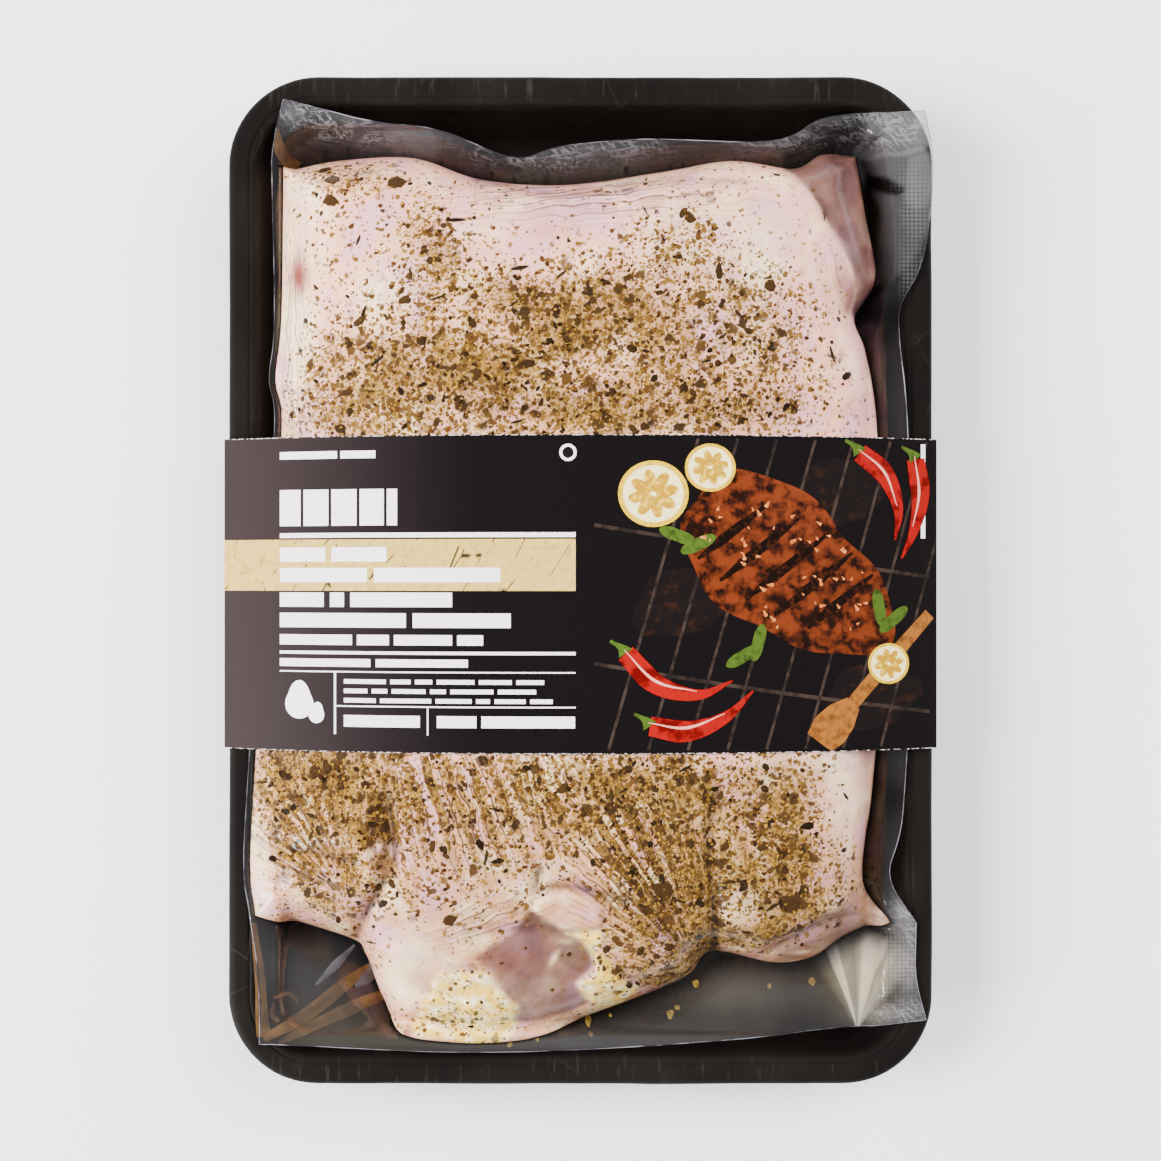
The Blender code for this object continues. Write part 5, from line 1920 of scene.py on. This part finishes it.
    def build_edge(self) -> bpy.types.Object:
        """Make the film's cut edge: a thin square bead along the outline, painted pale grey as a painted
        highlight where the light gathers.

        Returns:
            The edge's piece.
        """
        line = self.rim_line
        before = np.roll(line, 1, axis=0)
        run = np.roll(line, -1, axis=0) - before
        side = np.column_stack((run[:, 1], -run[:, 0]))
        side = side / np.maximum(np.linalg.norm(side, axis=1, keepdims=True), 1e-6)
        radius = self.edge_radius * (0.7 + 0.5 * cloud(line[:, 0], line[:, 1], 20.0, SEED + 83))[:, None]
        flat = np.column_stack((side, np.zeros(len(line))))
        rise = np.array((0.0, 0.0, 1.0))
        rings = np.stack([line + radius * (math.cos(angle) * flat + math.sin(angle) * rise)
                          for angle in (0.0, math.pi / 2, math.pi, 1.5 * math.pi)], axis=1)
        count = len(line)
        faces = grid_faces(count + 1, 4, closed=True) % (count * 4)
        finish = InkFinish("film_cut_edge", "#7d7a84", "#1e1c20", 11.0, 0.95, 0.36, 0.6, 0.25)
        piece = make_piece("pouch_film_edge", rings.reshape(-1, 3), [faces[:, ::-1]], [finish.material()])
        return dress(piece)


@dataclass
class Brine:
    """The amber brine caught in the film's folds at one corner, with a few crumbs afloat."""

    form: PouchForm
    strips: tuple[tuple[Points, tuple[float, ...]], ...] = (
        (((-97.5, -102), (-95.6, -118), (-95.0, -130), (-94.4, -136)), (1.6, 3.0, 3.4, 4.4)),
        (((-94.5, -136.5), (-82, -130), (-70, -121), (-61.5, -116)), (2.4, 4.2, 4.0, 2.0)),
        (((-90, -137.6), (-76, -131.5), (-66, -127.5), (-58.5, -125.5)), (1.6, 3.2, 4.0, 3.0)),
        (((-91.5, -124.4), (-87, -124.0), (-84.8, -126.6)), (1.0, 1.6, 1.0)),
        (((-91.5, -126.0), (-92.0, -129.4), (-90.0, -131.5)), (1.0, 1.4, 1.2)),
        (((-90.4, 135), (-89.4, 128), (-86, 124.6)), (1.0, 3.2, 4.5)),
    )
    pale: tuple[tuple[Points, tuple[float, ...]], ...] = (
        (((-79.5, -121.5), (-73.5, -115.6), (-68.5, -110.6)), (1.2, 2.8, 0.8)),
        (((-68.0, -122.6), (-65.0, -120.6), (-62.6, -116.0)), (1.0, 4.2, 2.6)),
    )
    crumbs: tuple[tuple[float, float], ...] = (
        (2.4, -133), (-12.8, -137), (29, -128.6), (27, -130.4), (9, -131.5), (-21, -138.4), (35, -122),
        (57, -122.4), (70, -121), (3, -135.4),
    )
    rails: int = 7

    def lay(self, name: str, strips: tuple[tuple[Points, tuple[float, ...]], ...], drop: float,
            finish: BrineFinish) -> None:
        """Make a piece of strips of one liquid or glare, each a low mound just under the loose film.

        Args:
            name: the piece's name.
            strips: each strip's path and widths.
            drop: how far it lies under the film.
            finish: its finish.
        """
        spots, faces = joined([ribbon(path, widths, self.rails) for path, widths in strips])
        share = np.tile(np.linspace(-1, 1, self.rails), len(spots) // self.rails)
        height = self.form.flange_height(spots[:, 0], spots[:, 1]) - drop + 0.35 * (1 - share ** 2)
        dress(make_piece(name, np.column_stack((spots, height)), [faces], [finish.material()]))

    def build(self) -> None:
        """Make the brine, strips of painted glare on the film's folds over it, and the crumbs."""
        self.lay("brine_folds", self.strips, 0.1, BrineFinish())
        # Painted glare: pale grey strips where the film's folds catch the light.
        self.lay("fold_glare_strips", self.pale, 0.0, BrineFinish("film_fold_glare", "#5c5960", "#35333a", 0.45))
        draw = np.random.default_rng(SEED + 91)
        angle = np.linspace(0, 2 * math.pi, 9, endpoint=False)
        points = []
        faces = []
        for index, (x, y) in enumerate(self.crumbs):
            radius = draw.uniform(0.5, 1.3) * draw.uniform(0.7, 1.2, 9)
            ring_x = x + radius * np.cos(angle)
            ring_y = y + radius * np.sin(angle)
            base = self.form.flange_height(np.append(ring_x, x), np.append(ring_y, y)) - 0.5
            points.append(np.column_stack((np.append(ring_x, x), np.append(ring_y, y),
                                           base + np.append(np.zeros(9), 0.5))))
            step = np.arange(9)
            faces.append(index * 10 + np.column_stack((step, (step + 1) % 9, np.full(9, 9))))
        finish = InkFinish("fat_crumb", "#8a7030", "#40290c", grain=0.9, amount=0.8)
        piece = make_piece("floating_crumbs", np.vstack(points), [np.vstack(faces)], [finish.material()])
        dress(piece)


@dataclass
class Studio:
    """A white floor, soft lamps and a camera straight above the pack."""

    camera_z: float = 620.0
    rim_z: float = 29.0
    half_view: float = 173.3
    floor_half: float = 3.0
    lamps: tuple[tuple[str, tuple[float, float, float], float, float, bool], ...] = (
        ("key", (-1.2, 0.1, 1.15), 0.9, 84.0, False),
        ("fill", (0.9, 0.7, 1.2), 1.4, 62.0, False),
        ("low", (-1.62, -0.82, 0.8), 0.35, 32.0, True),
    )

    def build_floor(self) -> None:
        """Lay the floor, a broad flat sheet a hair under the pack."""
        half = self.floor_half * 1000
        points = half * np.array(((-1, -1, 0), (1, -1, 0), (1, 1, 0), (-1, 1, 0))) - (0, 0, 0.2)
        finish = InkFinish("studio_paper", "#f4f3f2", "#f1f0ef", grain=60.0, roughness=0.9)
        floor = make_piece("floor", points, [np.array(((0, 1, 2, 3),))], [finish.material()], smooth=False)

    def build_lamps(self) -> None:
        """Hang the lamps, each turned to the pack, and set a pale even sky. Only the low lamp glints."""
        for name, place, size, power, glints in self.lamps:
            data = bpy.data.lights.new(name, "AREA")
            data.shape = "SQUARE"
            data.size = size
            data.energy = power
            lamp = bpy.data.objects.new(name, data)
            lamp.location = place
            lamp.visible_glossy = glints
            lamp.rotation_euler = (-Vector(place)).to_track_quat("-Z", "Y").to_euler()
            bpy.context.scene.collection.objects.link(lamp)
        world = bpy.data.worlds.new("studio")
        world.use_nodes = True
        sky = world.node_tree.nodes["Background"]
        sky.inputs["Color"].default_value = linear("#ffffff")
        sky.inputs["Strength"].default_value = 0.5
        bpy.context.scene.world = world

    def build_camera(self) -> None:
        """Place the camera straight above, with the rim's plane filling the frame as wide as half_view."""
        data = bpy.data.cameras.new("camera")
        data.sensor_width = 36.0
        data.sensor_height = 36.0
        data.lens = 18.0 * (self.camera_z - self.rim_z) / self.half_view
        camera = bpy.data.objects.new("camera", data)
        camera.location = (0.0, 0.0, self.camera_z * MM)
        bpy.context.scene.collection.objects.link(camera)
        bpy.context.scene.camera = camera


def main() -> None:
    """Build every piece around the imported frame, and report it."""
    logging.basicConfig(level=logging.INFO, format="%(name)s: %(message)s")
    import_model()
    tray_low, tray_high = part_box("tray")
    sleeve_low, sleeve_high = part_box("sleeve")
    studio = Studio()
    studio.build_camera()
    tray = FoamTray(length=(tray_high.y - tray_low.y) / MM, width=(tray_high.x - tray_low.x) / MM,
                    base_z=tray_low.z / MM)
    sleeve = CardSleeve(low_y=sleeve_low.y / MM, high_y=sleeve_high.y / MM, half=sleeve_high.x / MM,
                        crown_z=sleeve_high.z / MM)
    form = PouchForm(tray, sleeve)
    tray.build(FoamFinish())
    sleeve.build(CardFinish())
    printed = SleevePrint(sleeve)
    printed.text_side()
    printed.picture_side()
    chicken = Chicken(form)
    bird = chicken.build(SkinFinish())
    seasoning = Seasoning(chicken)
    for kind in Speck:
        seasoning.build(kind)
    film = VacuumFilm(form)
    cover = film.build(FilmFinish())
    film.build_edge()
    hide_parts("pouch")
    Brine(form).build()
    LOG.info("pouch holds %s under %s", bird.name, cover.name)
    studio.build_floor()
    studio.build_lamps()


if __name__ == "__main__":
    main()
